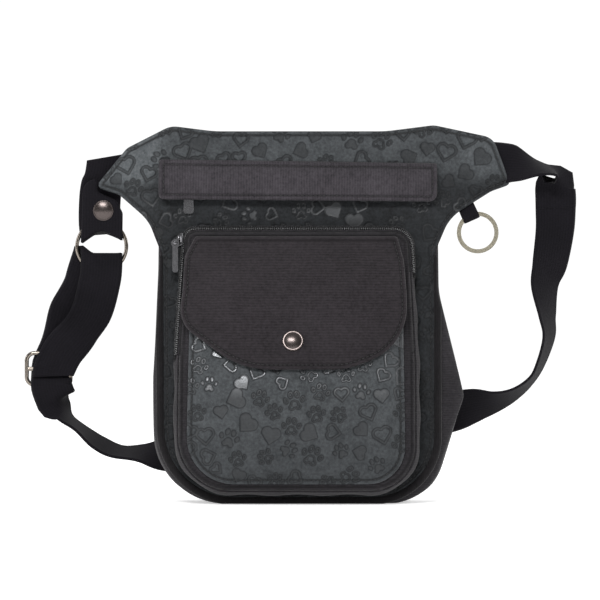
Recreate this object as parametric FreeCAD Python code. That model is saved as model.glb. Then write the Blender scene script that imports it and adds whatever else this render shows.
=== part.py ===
"""Treat pouch: a winged hip bag with a zipped bellows pocket, a flap and a webbing belt.

Millimetres. +Z is up, +X is to the right of someone who looks at the front, the front faces -Y,
and the origin is the centre of the base that the pouch stands on.
"""
import FreeCAD, Part
import math
import os

V = FreeCAD.Vector

# ---------------------------------------------------------------- driving dimensions
BODY_DEPTH = 48.0           # front face to hip face at the base
HIP_Y = BODY_DEPTH / 2       # the hip face: what hangs on the wings is placed from it
WING_DEPTH = 8.0            # front face to hip face at the wings
LEATHER = 2.0               # front panel and slip pocket
BACK_T = 1.8                # back panel
CANVAS = 1.6                # gussets, flap, strip
SLOPE_TOP = 205.0           # the front starts to lean forward below this height
SLOPE_FOOT = 60.0           # and is upright again below this one
PIPING_TOP = 165.0
GUSSET_TOP = 200.0
TOP_SEAM = 13.0             # depth of the stiffened seam along the top edge
SEAM_INSET = 1.5

ZIP_Z = 224.0               # centre of the main zip
ZIP_GAP = 6.0               # open way between the two rows of coil
ZIP_COIL = 2.0
ZIP_COIL_T = 1.8
ZIP_TAPE_T = 0.6
ZIP_TAPE_W = 9.0
ZIP_LEFT = -89.0
ZIP_RIGHT = 87.0
ZIP_SLOT_SLACK = 0.5
RUN = 0.3                   # clearance between pieces that move past each other

STRIP_LEFT = -101.5
STRIP_RIGHT = 98.5
STRIP_TOP = 244.5
STRIP_FOOT = 215.0
STRIP_BULGE = 5.6           # how far the strip stands off, to clear the slider

POCKET_LEFT_TOP = -83.0
POCKET_LEFT = -88.5
POCKET_RIGHT = 84.0
POCKET_TOP = 196.0
POCKET_FOOT = 7.5
POCKET_DEPTH_TOP = 14.0
POCKET_DEPTH = 22.0
POCKET_ZIP_SET = 4.0        # from the pocket front to the coil
POCKET_COIL_W = 3.4
POCKET_COIL_T = 1.4
POCKET_ZIP_FOOT_L = 105.0
POCKET_ZIP_FOOT_R = 163.0
POCKET_SLIDER_Z = 187.0

SLIP_LEFT = -80.0
SLIP_RIGHT = 74.0
SLIP_FOOT = 15.0
SLIP_TOP = 152.0
SLIP_GAP = 6.0

FLAP_TOP = 190.0
FLAP_BEND = 158.0
FLAP_FOOT = 95.5
FLAP_SET = 0.4              # from the pocket front at the hinge
FLAP_GAP = 2.7              # from the slip panel, where the snap sits

SNAP_CAP_R = 7.5
SNAP_CAP_H = 2.6
SNAP_X = -5.0
SNAP_Z = 115.5
SOCKET_R = 5.0
STUD_R = 2.2
SNAP_FIT = 0.35
SHANK_R = 1.4

WEB_W = 30.0                # belt webbing
WEB_T = 1.6
RING_MID_R = 17.8           # belt ring
RING_WIRE_R = 1.4
RING_AT = (-143.0, HIP_Y - 1.3, 183.0)
LOOP_TOP = 239.4
LOOP_FOOT = 187.0
LOOP_SNAP = (-141.6, 208.8)
ADJUSTER = (39.0, 26.0, 2.2)
ADJUSTER_AT = (-180.0, HIP_Y + 10.0, 94.5)
ADJUSTER_BAR = 3.4
BELT_AXIS_RIGHT = (154.0, HIP_Y - 3.9, 244.0)

KEY_RING_R = 15.0
KEY_RING_W = 3.0
KEY_RING_T = 1.6
KEY_RING_AT = (128.0, HIP_Y - 3.9, 193.0)
KEY_TAB_W = 12.0
KEY_TAB_T = 1.1
KEY_TAB_LEAN = 24.0         # degrees from straight down

# ---------------------------------------------------------------- derived places
BACK_Y = HIP_Y
FRONT_Y = -BODY_DEPTH / 2
WING_Y = BACK_Y - WING_DEPTH
INNER_BACK_Y = BACK_Y - BACK_T
INNER_WING_Y = WING_Y + LEATHER
FRONT = [(0.0, FRONT_Y), (SLOPE_FOOT, FRONT_Y), (SLOPE_TOP, WING_Y), (290.0, WING_Y)]


def height_to_y(profile, z):
    """The y of a side profile at a height."""
    for (z0, y0), (z1, y1) in zip(profile, profile[1:]):
        if z <= z1:
            return y0 + (y1 - y0) * (z - z0) / (z1 - z0)
    return profile[-1][1]


POCKET_Y_TOP = height_to_y(FRONT, POCKET_TOP) - POCKET_DEPTH_TOP
POCKET = [(0.0, FRONT_Y - POCKET_DEPTH), (SLOPE_FOOT, FRONT_Y - POCKET_DEPTH), (POCKET_TOP, POCKET_Y_TOP)]
POCKET_SLOPE = (POCKET_Y_TOP - FRONT_Y + POCKET_DEPTH) / (POCKET_TOP - SLOPE_FOOT)
POCKET_LEAN = math.degrees(math.atan(POCKET_SLOPE))

# Outlines seen from the front: x, z and the radius of each rounded corner, clockwise.
SEAM_OUTLINE = [
    (-93.0, 269.5, 16), (-62.0, 265.6, 90), (62.0, 265.6, 90), (96.5, 270.0, 16), (139.0, 261.0, 12),
    (151.5, 228.0, 3), (137.5, 223.0, 14), (108.0, 204.5, 34), (96.5, 180.0, 34), (95.5, 4.5, 44), (-96.0, 4.0, 50),
    (-98.8, 178.0, 34), (-109.0, 202.0, 34), (-130.0, 220.5, 14), (-147.0, 226.0, 3), (-124.5, 253.5, 10)]
BODY_OUTLINE = [
    (-100.6, 204.0, 0), (98.2, 204.0, 0), (98.4, 150.0, 60), (115.6, 76.0, 8), (91.0, 0.0, 40), (-101.5, 0.0, 50),
    (-103.4, 90.0, 60), (-100.7, 165.0, 60)]
POCKET_OUTLINE = [
    (POCKET_LEFT_TOP, POCKET_TOP, 9), (80.0, POCKET_TOP, 14), (POCKET_RIGHT, 100.0, 60),
    (POCKET_RIGHT, POCKET_FOOT, 34), (POCKET_LEFT, POCKET_FOOT, 40), (POCKET_LEFT, 100.0, 60)]
SLIP_OUTLINE = [
    (SLIP_LEFT + 2, SLIP_TOP, 0), (SLIP_RIGHT - 1, SLIP_TOP, 0), (SLIP_RIGHT, SLIP_FOOT, 26), (SLIP_LEFT, SLIP_FOOT, 33)]
FLAP_OUTLINE = [
    (-72.0, FLAP_TOP, 3), (69.0, FLAP_TOP, 3), (75.5, 150.0, 30), (76.0, 112.0, 40), (33.0, FLAP_FOOT, 50),
    (-41.0, FLAP_FOOT, 60), (-86.0, 128.0, 22), (-83.0, 152.0, 30)]
STRIP_OUTLINE = [
    (STRIP_LEFT, STRIP_TOP, 2), (STRIP_RIGHT, STRIP_TOP, 2), (STRIP_RIGHT, STRIP_FOOT, 5), (STRIP_LEFT, STRIP_FOOT, 5)]
TAIL_OUTLINE = [
    (-157.6, 228.0, 5), (-149.5, 228.6, 3), (-147.5, 221.5, 4), (-132.0, 216.0, 6), (-127.6, 207.0, 4),
    (-127.9, 192.6, 0), (-158.2, 192.6, 0)]


def from_hip(stations):
    """Belt stations with y counted from the hip face, placed in the shared frame."""
    return [((x, HIP_Y + y, z), across) for (x, y, z), across in stations]


# Belt: middle of the webbing and the direction across it, from the right wing, down, behind the
# pouch, up to the adjuster and on as the rear layer to the ring.
BELT_ROUTE = from_hip([
    ((154.4, -3.9, 244.0), (0.0, 0.05, 1.0)), ((159.4, -3.7, 243.6), (0.02, 0.42, 0.90)),
    ((165.0, -2.6, 241.8), (0.04, 0.76, 0.64)), ((171.0, -1.2, 240.6), (0.06, 0.90, 0.42)),
    ((177.5, 0.6, 239.2), (0.10, 0.96, 0.24)),
    ((184.0, 2.5, 237.0), (0.25, 0.96, 0.08)), ((187.8, 3.8, 232.0), (0.62, 0.78, -0.08)),
    ((186.6, 4.8, 224.0), (0.92, 0.38, -0.10)), ((185.0, 5.6, 210.6), (0.98, 0.18, -0.10)),
    ((184.6, 7.0, 194.5), (0.95, 0.30, -0.03)), ((181.2, 9.0, 170.5), (0.88, 0.47, -0.05)),
    ((177.8, 11.0, 155.0), (0.70, 0.70, -0.12)), ((179.6, 13.5, 133.0), (0.46, 0.88, -0.10)),
    ((180.6, 15.2, 117.0), (0.33, 0.94, -0.04)), ((173.8, 17.0, 95.8), (0.22, 0.97, -0.08)),
    ((166.8, 18.0, 85.0), (0.10, 0.97, -0.20)), ((155.5, 19.0, 76.0), (0.16, 0.94, -0.28)),
    ((141.5, 20.0, 70.2), (0.24, 0.83, -0.50)), ((125.5, 20.0, 67.0), (0.22, 0.50, -0.83)),
    ((106.0, 18.5, 62.0), (-0.10, 0.12, -0.99)), ((60.0, 12.0, 52.0), (-0.12, 0.0, -0.99)),
    ((0.0, 9.0, 42.0), (-0.10, 0.0, -0.99)), ((-58.0, 12.0, 35.0), (0.02, 0.0, -1.0)),
    ((-96.0, 17.0, 32.6), (0.26, -0.60, -0.75)), ((-115.5, 19.0, 33.1), (0.14, -0.90, -0.38)),
    ((-132.6, 19.0, 34.4), (-0.30, -0.92, -0.20)), ((-147.0, 18.0, 41.0), (-0.26, -0.94, -0.19)),
    ((-159.8, 17.0, 51.2), (-0.17, -0.97, -0.08)), ((-168.4, 16.0, 58.4), (-0.24, -0.97, -0.06)),
    ((-172.4, 14.4, 65.4), (-0.42, -0.90, -0.14)), ((-175.4, 12.0, 69.6), (-0.72, -0.68, -0.10)),
    ((-177.0, 8.2, 73.8), (-0.98, -0.18, -0.02)), ((-178.6, 7.1, 78.0), (-1.0, 0.0, 0.0)),
    ((-179.8, 7.2, 82.0), (-1.0, 0.0, 0.0)),
    ((-179.9, 7.5, 85.4), (-1.0, 0.0, 0.0)), ((-179.9, 12.9, 91.8), (-1.0, 0.0, 0.0)),
    ((-179.4, 13.0, 97.0), (-0.99, 0.0, -0.10)), ((-175.0, 13.0, 107.0), (-0.93, 0.0, -0.36)),
    ((-168.0, 11.9, 120.0), (-0.88, 0.0, -0.46)), ((-159.0, 9.0, 136.0), (-0.93, 0.0, -0.34)),
    ((-148.5, 4.8, 154.0), (-0.99, 0.0, -0.08))])
BELT_RETURN = from_hip([
    ((-144.2, -4.0, 158.0), (-0.99, 0.0, -0.06)), ((-150.4, 1.6, 136.0), (-0.93, 0.0, -0.34)),
    ((-161.0, 6.0, 120.0), (-0.87, 0.0, -0.48)), ((-171.6, 7.2, 107.0), (-0.92, 0.0, -0.38)),
    ((-178.0, 7.2, 94.0), (-0.97, 0.0, -0.24)), ((-178.6, 7.2, 89.2), (-1.0, 0.0, 0.0))])
BELT_FOLD_Z = 178.4


# ---------------------------------------------------------------- shape helpers
def outline_wire(corners):
    """A closed wire in the XZ plane with each corner rounded by its own radius."""
    ends = []
    for index, (x, z, radius) in enumerate(corners):
        here = V(x, 0, z)
        before = corners[index - 1]
        after = corners[(index + 1) % len(corners)]
        to_before = (V(before[0], 0, before[1]) - here).normalize()
        to_after = (V(after[0], 0, after[1]) - here).normalize()
        half = to_before.getAngle(to_after) / 2
        if radius == 0:
            ends.append((here, None, here))
            continue
        reach = radius / math.tan(half)
        middle = (to_before + to_after).normalize()
        apex = here + middle * (radius / math.sin(half) - radius)
        ends.append((here + to_before * reach, apex, here + to_after * reach))
    edges = []
    for index, (start, apex, finish) in enumerate(ends):
        if apex is not None:
            edges.append(Part.Arc(start, apex, finish).toShape())
        edges.append(Part.LineSegment(finish, ends[(index + 1) % len(ends)][0]).toShape())
    return Part.Wire(edges)


def prism(corners, low=-90.0, high=60.0, inset=0.0):
    """The outline carried through from one y to another, shrunk by an inset."""
    wire = outline_wire(corners)
    if inset:
        wire = wire.makeOffset2D(-inset)
    face = Part.Face(wire)
    face.translate(V(0, low, 0))
    return face.extrude(V(0, high - low, 0))


def slab(profile, near, far, z_low, z_high, x_low=-230.0, x_high=230.0):
    """The layer between two offsets in y from a side profile, between two heights."""
    heights = [z_low] + [z for z, _ in profile if z_low < z < z_high] + [z_high]
    front = [V(x_low, height_to_y(profile, z) + near, z) for z in heights]
    rear = [V(x_low, height_to_y(profile, z) + far, z) for z in reversed(heights)]
    face = Part.Face(Part.makePolygon(front + rear + front[:1]))
    return face.extrude(V(x_high - x_low, 0, 0))


def between(profile, near, y_rear, z_low, z_high):
    """The space from an offset of a side profile back to a flat rear plane."""
    heights = [z_low] + [z for z, _ in profile if z_low < z < z_high] + [z_high]
    front = [V(-230, height_to_y(profile, z) + near, z) for z in heights]
    corners = front + [V(-230, y_rear, z_high), V(-230, y_rear, z_low), front[0]]
    return Part.Face(Part.makePolygon(corners)).extrude(V(460, 0, 0))


def box(x0, x1, y0, y1, z0, z1):
    return Part.makeBox(x1 - x0, y1 - y0, z1 - z0, V(x0, y0, z0))


def disc(x, z, radius, y0, y1):
    """A cylinder along Y."""
    return Part.makeCylinder(radius, y1 - y0, V(x, y0, z), V(0, 1, 0))


def ribbon(route, width, thickness):
    """Webbing through stations: the middle of the section and the direction across it."""
    points = [V(*point) for point, _ in route]
    sections = []
    for index, (_, across) in enumerate(route):
        ahead = points[min(index + 1, len(points) - 1)] - points[max(index - 1, 0)]
        ahead.normalize()
        side = V(*across)
        side = (side - ahead * side.dot(ahead)).normalize() * (width / 2)
        up = ahead.cross(side).normalize() * (thickness / 2)
        at = points[index]
        corners = [at - side - up, at + side - up, at + side + up, at - side + up]
        sections.append(Part.makePolygon(corners + corners[:1]))
    return Part.makeLoft(sections, True, True)


def tilted(shape, lean, at):
    """Lean a shape forward at the foot, about an X line through a point."""
    turned = shape.copy()
    turned.rotate(V(*at), V(1, 0, 0), -lean)
    return turned


def dome(radius, height, y_foot):
    """A snap cap on the Y axis: a rounded rim and a shallow dome that rises towards -Y."""
    rim = height * 0.46
    plate = disc(0, 0, radius, y_foot - rim, y_foot)
    plate = plate.makeFillet(rim * 0.6, [edge for edge in plate.Edges if edge.BoundBox.YMax < y_foot - rim + 0.01])
    rise = height - rim * 0.5
    ball_r = (radius ** 2 + rise ** 2) / (2 * rise)
    ball = Part.makeSphere(ball_r, V(0, y_foot - height + ball_r, 0))
    return plate.fuse(ball.common(disc(0, 0, radius - 1.2, y_foot - height - 1, y_foot - rim * 0.5)))


def snap_parts(fabric_front, fabric_t, gap):
    """Cap, socket and stud of a press snap on the Y axis, with the front fabric's face at a y."""
    back = fabric_front + fabric_t
    cap = dome(SNAP_CAP_R, SNAP_CAP_H, fabric_front).fuse(disc(0, 0, SHANK_R, fabric_front - 0.2, back))
    stud_face = back + gap
    flange_t = 0.4
    socket_end = stud_face - flange_t - RUN
    socket = disc(0, 0, SOCKET_R, back, socket_end).cut(disc(0, 0, STUD_R + SNAP_FIT, back + 0.25, socket_end + 1))
    stud = disc(0, 0, SOCKET_R, stud_face - flange_t, stud_face).fuse(disc(0, 0, STUD_R, back + 0.6, stud_face))
    return cap, socket, stud


# ---------------------------------------------------------------- pouch body
def make_front_panel():
    panel = prism(SEAM_OUTLINE).common(slab(FRONT, 0, LEATHER, 0, 289))
    half = ZIP_GAP / 2 + ZIP_COIL + ZIP_SLOT_SLACK
    return panel.cut(box(ZIP_LEFT, ZIP_RIGHT, WING_Y - 5, INNER_WING_Y + 1, ZIP_Z - half, ZIP_Z + half))


def make_front_piping():
    ring = prism(BODY_OUTLINE).cut(prism(SEAM_OUTLINE))
    return ring.common(slab(FRONT, 0, LEATHER, -1, PIPING_TOP))


def make_main_gusset():
    wall = prism(BODY_OUTLINE).cut(prism(BODY_OUTLINE, inset=CANVAS))
    return wall.common(between(FRONT, LEATHER, INNER_BACK_Y, -1, GUSSET_TOP))


def make_back_panel():
    wings = prism(SEAM_OUTLINE, INNER_BACK_Y, BACK_Y)
    return wings.fuse(prism(BODY_OUTLINE, INNER_BACK_Y, BACK_Y)).removeSplitter()


def wing_core():
    return prism(SEAM_OUTLINE, INNER_WING_Y, INNER_BACK_Y, inset=SEAM_INSET)


def make_wing_padding(side):
    core = wing_core().common(box(104, 160, 0, 60, 205, 290) if side > 0 else box(-160, -104, 0, 60, 205, 290))
    if side > 0:
        core = core.cut(box(118, 170, 0, 60, 226, 262)).cut(box(106, 130, 0, 60, 200, 228))
    return core


def make_top_stiffener():
    return wing_core().common(box(-103, 103, 0, 60, STRIP_TOP + TOP_SEAM - 5, 290))


# ---------------------------------------------------------------- main zip
def make_main_zip_tapes():
    edge = ZIP_GAP / 2 - 0.2
    rear = INNER_WING_Y + ZIP_TAPE_T
    upper = box(ZIP_LEFT - 4, ZIP_RIGHT + 4, INNER_WING_Y, rear, ZIP_Z + edge, ZIP_Z + edge + ZIP_TAPE_W)
    lower = box(ZIP_LEFT - 4, ZIP_RIGHT + 4, INNER_WING_Y, rear, ZIP_Z - edge - ZIP_TAPE_W, ZIP_Z - edge)
    return Part.makeCompound([upper, lower])


def make_main_zip_coils():
    rows = []
    for side in (1, -1):
        middle = ZIP_Z + side * (ZIP_GAP + ZIP_COIL) / 2
        front = INNER_WING_Y - ZIP_COIL_T
        rows.append(box(ZIP_LEFT + 2, ZIP_RIGHT - 2, front, INNER_WING_Y, middle - ZIP_COIL / 2, middle + ZIP_COIL / 2))
    return Part.makeCompound(rows)


def make_main_zip_stops():
    front = INNER_WING_Y - ZIP_COIL_T - 0.2
    reach = ZIP_GAP / 2 + ZIP_COIL
    stops = [box(ZIP_LEFT, ZIP_LEFT + 2, front, INNER_WING_Y, ZIP_Z - reach, ZIP_Z + reach)]
    for side in (1, -1):
        middle = ZIP_Z + side * (ZIP_GAP + ZIP_COIL) / 2
        stops.append(box(ZIP_RIGHT - 2, ZIP_RIGHT, front, INNER_WING_Y, middle - 1, middle + 1))
    return Part.makeCompound(stops)


SLIDER_X = ZIP_LEFT + 9.0
PULL_PIN_R = 1.2
PULL_EYE_R = 1.6
SLIDER_FRONT_Y = INNER_WING_Y - ZIP_COIL_T - RUN
MAIN_PULL_Y = SLIDER_FRONT_Y - 2.9


def make_main_zip_slider():
    reach = ZIP_GAP / 2 + ZIP_COIL + 0.1
    rear = INNER_WING_Y + ZIP_TAPE_T + RUN
    plate = box(SLIDER_X - 6, SLIDER_X + 6, SLIDER_FRONT_Y - 1.2, SLIDER_FRONT_Y, ZIP_Z - reach, ZIP_Z + reach)
    back = box(SLIDER_X - 6, SLIDER_X + 6, rear, rear + 1, ZIP_Z - reach, ZIP_Z + reach)
    post = box(SLIDER_X - 6, SLIDER_X - 2, SLIDER_FRONT_Y, rear, ZIP_Z - 1.6, ZIP_Z + 1.6)
    pin = disc(SLIDER_X, ZIP_Z, PULL_PIN_R, MAIN_PULL_Y - 0.4, SLIDER_FRONT_Y - 1.2)
    head = disc(SLIDER_X, ZIP_Z, 2.2, MAIN_PULL_Y - 0.9, MAIN_PULL_Y - 0.4)
    return plate.fuse([back, post, pin, head]).removeSplitter()


def make_main_zip_pull():
    y0, y1 = MAIN_PULL_Y, MAIN_PULL_Y + 1.2
    eye = disc(SLIDER_X, ZIP_Z, 3.6, y0, y1)
    neck = box(SLIDER_X - 1.6, SLIDER_X + 1.6, y0, y1, ZIP_Z - 8, ZIP_Z)
    tongue = prism([(SLIDER_X - 3.4, ZIP_Z - 7, 1), (SLIDER_X + 3.4, ZIP_Z - 7, 1), (SLIDER_X + 4, ZIP_Z - 17.5, 2.4),
                    (SLIDER_X - 4, ZIP_Z - 17.5, 2.4)], y0, y1)
    return eye.fuse([neck, tongue]).cut(disc(SLIDER_X, ZIP_Z, PULL_EYE_R, y0 - 1, y1 + 1)).removeSplitter()


STRIP_PROFILE = [(0.0, -STRIP_BULGE), (STRIP_TOP - 9.0, -STRIP_BULGE), (STRIP_TOP, -RUN - 0.1), (290.0, 0.0)]


def make_cover_strip():
    layer = slab(STRIP_PROFILE, WING_Y - CANVAS, WING_Y, STRIP_FOOT - 2, STRIP_TOP)
    return prism(STRIP_OUTLINE).common(layer)


# ---------------------------------------------------------------- front pocket
def pocket_edge_x(z):
    """The straight left edge of the pocket at a height."""
    share = (POCKET_TOP - z) / (POCKET_TOP - 100.0)
    return POCKET_LEFT_TOP + (POCKET_LEFT - POCKET_LEFT_TOP) * share


def make_pocket_gusset():
    wall = prism(POCKET_OUTLINE).cut(prism(POCKET_OUTLINE, inset=CANVAS))
    space = between(POCKET, CANVAS, 60, 0, POCKET_TOP + 1)
    return wall.common(space).common(between(FRONT, -60, 60, 0, 289).cut(between(FRONT, 0, 70, -1, 289)))


def make_pocket_front_wall():
    return prism(POCKET_OUTLINE).common(slab(POCKET + [(POCKET_TOP + 2, POCKET_Y_TOP)], 0, CANVAS, 0, POCKET_TOP + 1))


def pocket_zip_band(thickness):
    wire = outline_wire(POCKET_OUTLINE)
    face = Part.Face(wire.makeOffset2D(thickness))
    face.translate(V(0, -90, 0))
    return face.extrude(V(0, 150, 0)).cut(prism(POCKET_OUTLINE))


def make_pocket_zip_coil():
    near, far = POCKET_ZIP_SET, POCKET_ZIP_SET + POCKET_COIL_W
    layer = slab(POCKET + [(POCKET_TOP + 5, POCKET_Y_TOP)], near, far, POCKET_ZIP_FOOT_L, POCKET_TOP + 3)
    band = pocket_zip_band(POCKET_COIL_T).common(layer)
    return band.cut(box(0, 120, -90, 60, 0, POCKET_ZIP_FOOT_R))


def make_pocket_zip_stops():
    near, far = POCKET_ZIP_SET, POCKET_ZIP_SET + POCKET_COIL_W
    band = pocket_zip_band(POCKET_COIL_T)
    left = slab(POCKET, near, far, POCKET_ZIP_FOOT_L - 3, POCKET_ZIP_FOOT_L, -120, 0)
    right = slab(POCKET, near, far, POCKET_ZIP_FOOT_R - 3, POCKET_ZIP_FOOT_R, 0, 120)
    return Part.makeCompound([band.common(left), band.common(right)])


def pocket_zip_direction():
    """Down along the left run of the coil."""
    drop = POCKET_TOP - 100.0
    return V(POCKET_LEFT - POCKET_LEFT_TOP, -drop * POCKET_SLOPE, -drop).normalize()


POCKET_SLIDER_Y = height_to_y(POCKET, POCKET_SLIDER_Z)
POCKET_SLIDER_X = pocket_edge_x(POCKET_SLIDER_Z)
POCKET_PIN_X = POCKET_SLIDER_X - POCKET_COIL_T - RUN - 3.8
POCKET_PIN_Z = POCKET_SLIDER_Z - 2.0
POCKET_PULL_Y = POCKET_SLIDER_Y - 3.4


def make_pocket_zip_slider():
    """A saddle over the coil: plate outside, a cheek each side, and a lug with the pull's pin."""
    down = pocket_zip_direction()
    start = V(POCKET_SLIDER_X, POCKET_SLIDER_Y, POCKET_SLIDER_Z) - down * 5

    def bar(x0, x1, y0, y1):
        corners = [V(x0, y0, 0), V(x1, y0, 0), V(x1, y1, 0), V(x0, y1, 0), V(x0, y0, 0)]
        face = Part.Face(Part.makePolygon(corners))
        face.translate(start)
        return face.extrude(down * 10)

    out = -POCKET_COIL_T - RUN
    near, far = POCKET_ZIP_SET - RUN, POCKET_ZIP_SET + POCKET_COIL_W + RUN
    plate = bar(out - 1.2, out, near - 1.2, far + 1.2)
    cheeks = [bar(out, -RUN, near - 1.2, near), bar(out, -RUN, far, far + 1.2)]
    lug_y = POCKET_SLIDER_Y - 1.0
    lug = box(POCKET_PIN_X - 2, POCKET_PIN_X + 3.2, lug_y, POCKET_SLIDER_Y + 6, POCKET_PIN_Z - 2, POCKET_PIN_Z + 3)
    pin = disc(POCKET_PIN_X, POCKET_PIN_Z, PULL_PIN_R, POCKET_PULL_Y - 0.4, lug_y)
    head = disc(POCKET_PIN_X, POCKET_PIN_Z, 2.0, POCKET_PULL_Y - 0.9, POCKET_PULL_Y - 0.4)
    return plate.fuse(cheeks + [lug, pin, head]).removeSplitter()


def make_pocket_zip_pull():
    y0, y1 = POCKET_PULL_Y, POCKET_PULL_Y + 1.2
    x, z = POCKET_PIN_X, POCKET_PIN_Z
    eye = disc(x, z, 2.9, y0, y1)
    tongue = prism([(x - 1.9, z, 0), (x + 1.9, z, 0), (x + 2.1, z - 21, 2), (x - 2.1, z - 21, 2)], y0, y1)
    return eye.fuse(tongue).cut(disc(x, z, PULL_EYE_R, y0 - 1, y1 + 1)).removeSplitter()


def make_slip_pocket_panel():
    """A leather pocket, open at the top, sewn to the pocket front along its sides and foot."""
    whole = prism(SLIP_OUTLINE).common(slab(POCKET, -SLIP_GAP - LEATHER, 0, 1, SLIP_TOP + 1))
    hollow = prism(SLIP_OUTLINE, inset=LEATHER).fuse(box(SLIP_LEFT + 5, SLIP_RIGHT - 4, -90, 60, SLIP_TOP - 10, 200))
    return whole.cut(hollow.common(slab(POCKET, -SLIP_GAP, 1, 1, SLIP_TOP + 2)))


FLAP_OUT = SLIP_GAP + LEATHER + FLAP_GAP
FLAP_PROFILE = [
    (0.0, FRONT_Y - POCKET_DEPTH - FLAP_OUT), (SLOPE_FOOT, FRONT_Y - POCKET_DEPTH - FLAP_OUT),
    (FLAP_BEND, height_to_y(POCKET, FLAP_BEND) - FLAP_OUT), (FLAP_TOP, height_to_y(POCKET, FLAP_TOP) - FLAP_SET)]


def snap_place():
    """Where the front face of the flap is, at the snap."""
    return (SNAP_X, height_to_y(FLAP_PROFILE, SNAP_Z) - CANVAS, SNAP_Z)


def place_flap_snap(shape):
    at = snap_place()
    moved = shape.copy()
    moved.translate(V(*at))
    return tilted(moved, POCKET_LEAN, at)


NORMAL_SHARE = math.cos(math.radians(POCKET_LEAN))
FLAP_SNAP = snap_parts(0.0, CANVAS * NORMAL_SHARE, FLAP_GAP * NORMAL_SHARE)


def make_pocket_flap():
    flap = prism(FLAP_OUTLINE).common(slab(FLAP_PROFILE, -CANVAS, 0, 1, FLAP_TOP))
    return flap.cut(place_flap_snap(disc(0, 0, SHANK_R, -3, 6)))


# ---------------------------------------------------------------- key ring
def lean_vectors():
    angle = math.radians(KEY_TAB_LEAN)
    down = V(math.sin(angle), 0, -math.cos(angle))
    across = V(math.cos(angle), 0, math.sin(angle))
    return down, across


def key_tunnel():
    down, _ = lean_vectors()
    return V(*KEY_RING_AT) - down * (KEY_RING_R - KEY_RING_W / 2)


def make_key_ring():
    """A flat split ring: two flat coils with a fine gap between them, joined at the far side."""
    axis = V(0, 1, 0)
    at = V(*KEY_RING_AT) - axis * (KEY_RING_T / 2)
    outer = Part.makeCylinder(KEY_RING_R, KEY_RING_T, at, axis)
    ring = outer.cut(Part.makeCylinder(KEY_RING_R - KEY_RING_W, KEY_RING_T, at, axis))
    groove_at = V(*KEY_RING_AT) - axis * 0.1
    middle = KEY_RING_R - KEY_RING_W / 2
    groove = Part.makeCylinder(KEY_RING_R + 1, 0.2, groove_at, axis)
    groove = groove.cut(Part.makeCylinder(middle + 0.6, 0.2, groove_at, axis))
    return ring.cut(groove)


def make_key_ring_tab():
    """Folded tape: a tunnel round the ring and two layers that run up between the panels."""
    down, across = lean_vectors()
    tunnel = key_tunnel()
    inner = 3.5
    outer = inner + KEY_TAB_T
    start = tunnel - across * (KEY_TAB_W / 2)
    tube = Part.makeCylinder(outer, KEY_TAB_W, start, across)
    neck = Part.makeBox(KEY_TAB_W, 13.5, 2 * KEY_TAB_T + 0.2)
    neck.Placement = FreeCAD.Placement(V(0, 0, 0), FreeCAD.Rotation(across, -down, V(0, -1, 0), "XYZ"))
    neck.translate(start - down * (inner - 0.6) + V(0, KEY_TAB_T + 0.1, 0))
    return tube.fuse(neck).cut(Part.makeCylinder(inner, KEY_TAB_W, start, across)).removeSplitter()


# ---------------------------------------------------------------- belt
def make_belt_end_right():
    route = [((121.0, BELT_AXIS_RIGHT[1], 243.0), (0, 0, 1)), ((152.6, BELT_AXIS_RIGHT[1], 244.0), (0, 0, 1))]
    return ribbon(route, WEB_W, WEB_T)


def make_loop_anchor():
    sewn = [(-155.0, 247.0, 3), (-124.0, 251.0, 3), (-124.0, 241.4, 0), (-155.0, 241.4, 0)]
    return prism(sewn, BACK_Y, BACK_Y + WEB_T)


LOOP_REAR_Y = BACK_Y + 0.4
TAIL_Y = RING_AT[1] - RING_WIRE_R - RUN - WEB_T


def fold_band(z_turn, opening, x_low, x_high):
    """Webbing bent round in a half circle about an X line, open upwards (1) or downwards (-1)."""
    outer = (LOOP_REAR_Y + WEB_T - TAIL_Y) / 2
    middle = TAIL_Y + outer
    start = V(x_low, middle, z_turn)
    tube = Part.makeCylinder(outer, x_high - x_low, start, V(1, 0, 0))
    tube = tube.cut(Part.makeCylinder(outer - WEB_T, x_high - x_low, start, V(1, 0, 0)))
    if opening > 0:
        return tube.common(box(x_low, x_high, -60, 90, z_turn - 20, z_turn))
    return tube.common(box(x_low, x_high, -60, 90, z_turn, z_turn + 20))


FOLD_R = (LOOP_REAR_Y + WEB_T - TAIL_Y) / 2
LOOP_TURN_Z = LOOP_FOOT + FOLD_R
LOOP_HINGE_Z = TAIL_OUTLINE[-1][1] - RUN


def make_loop_back_layer():
    left, right = RING_AT[0] - WEB_W / 2, RING_AT[0] + WEB_W / 2
    sheet = prism([(left + 2, LOOP_TOP, 0), (right + 2, LOOP_TOP, 0), (right, LOOP_TURN_Z, 0), (left, LOOP_TURN_Z, 0)],
                  LOOP_REAR_Y, LOOP_REAR_Y + WEB_T)
    lip = box(left, right, TAIL_Y, TAIL_Y + WEB_T, LOOP_TURN_Z, LOOP_HINGE_Z - WEB_T / 2 - RUN)
    return sheet.fuse([fold_band(LOOP_TURN_Z, 1, left, right), lip]).removeSplitter()


def place_loop_snap(shape):
    moved = shape.copy()
    moved.translate(V(LOOP_SNAP[0], TAIL_Y, LOOP_SNAP[1]))
    return moved


LOOP_SNAP_PARTS = snap_parts(0.0, WEB_T, LOOP_REAR_Y - TAIL_Y - WEB_T)


def make_loop_tail():
    return prism(TAIL_OUTLINE, TAIL_Y, TAIL_Y + WEB_T).cut(place_loop_snap(disc(0, 0, SHANK_R, -3, 6)))


def make_o_ring():
    return Part.makeTorus(RING_MID_R, RING_WIRE_R, V(*RING_AT), V(0, 1, 0))


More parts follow.
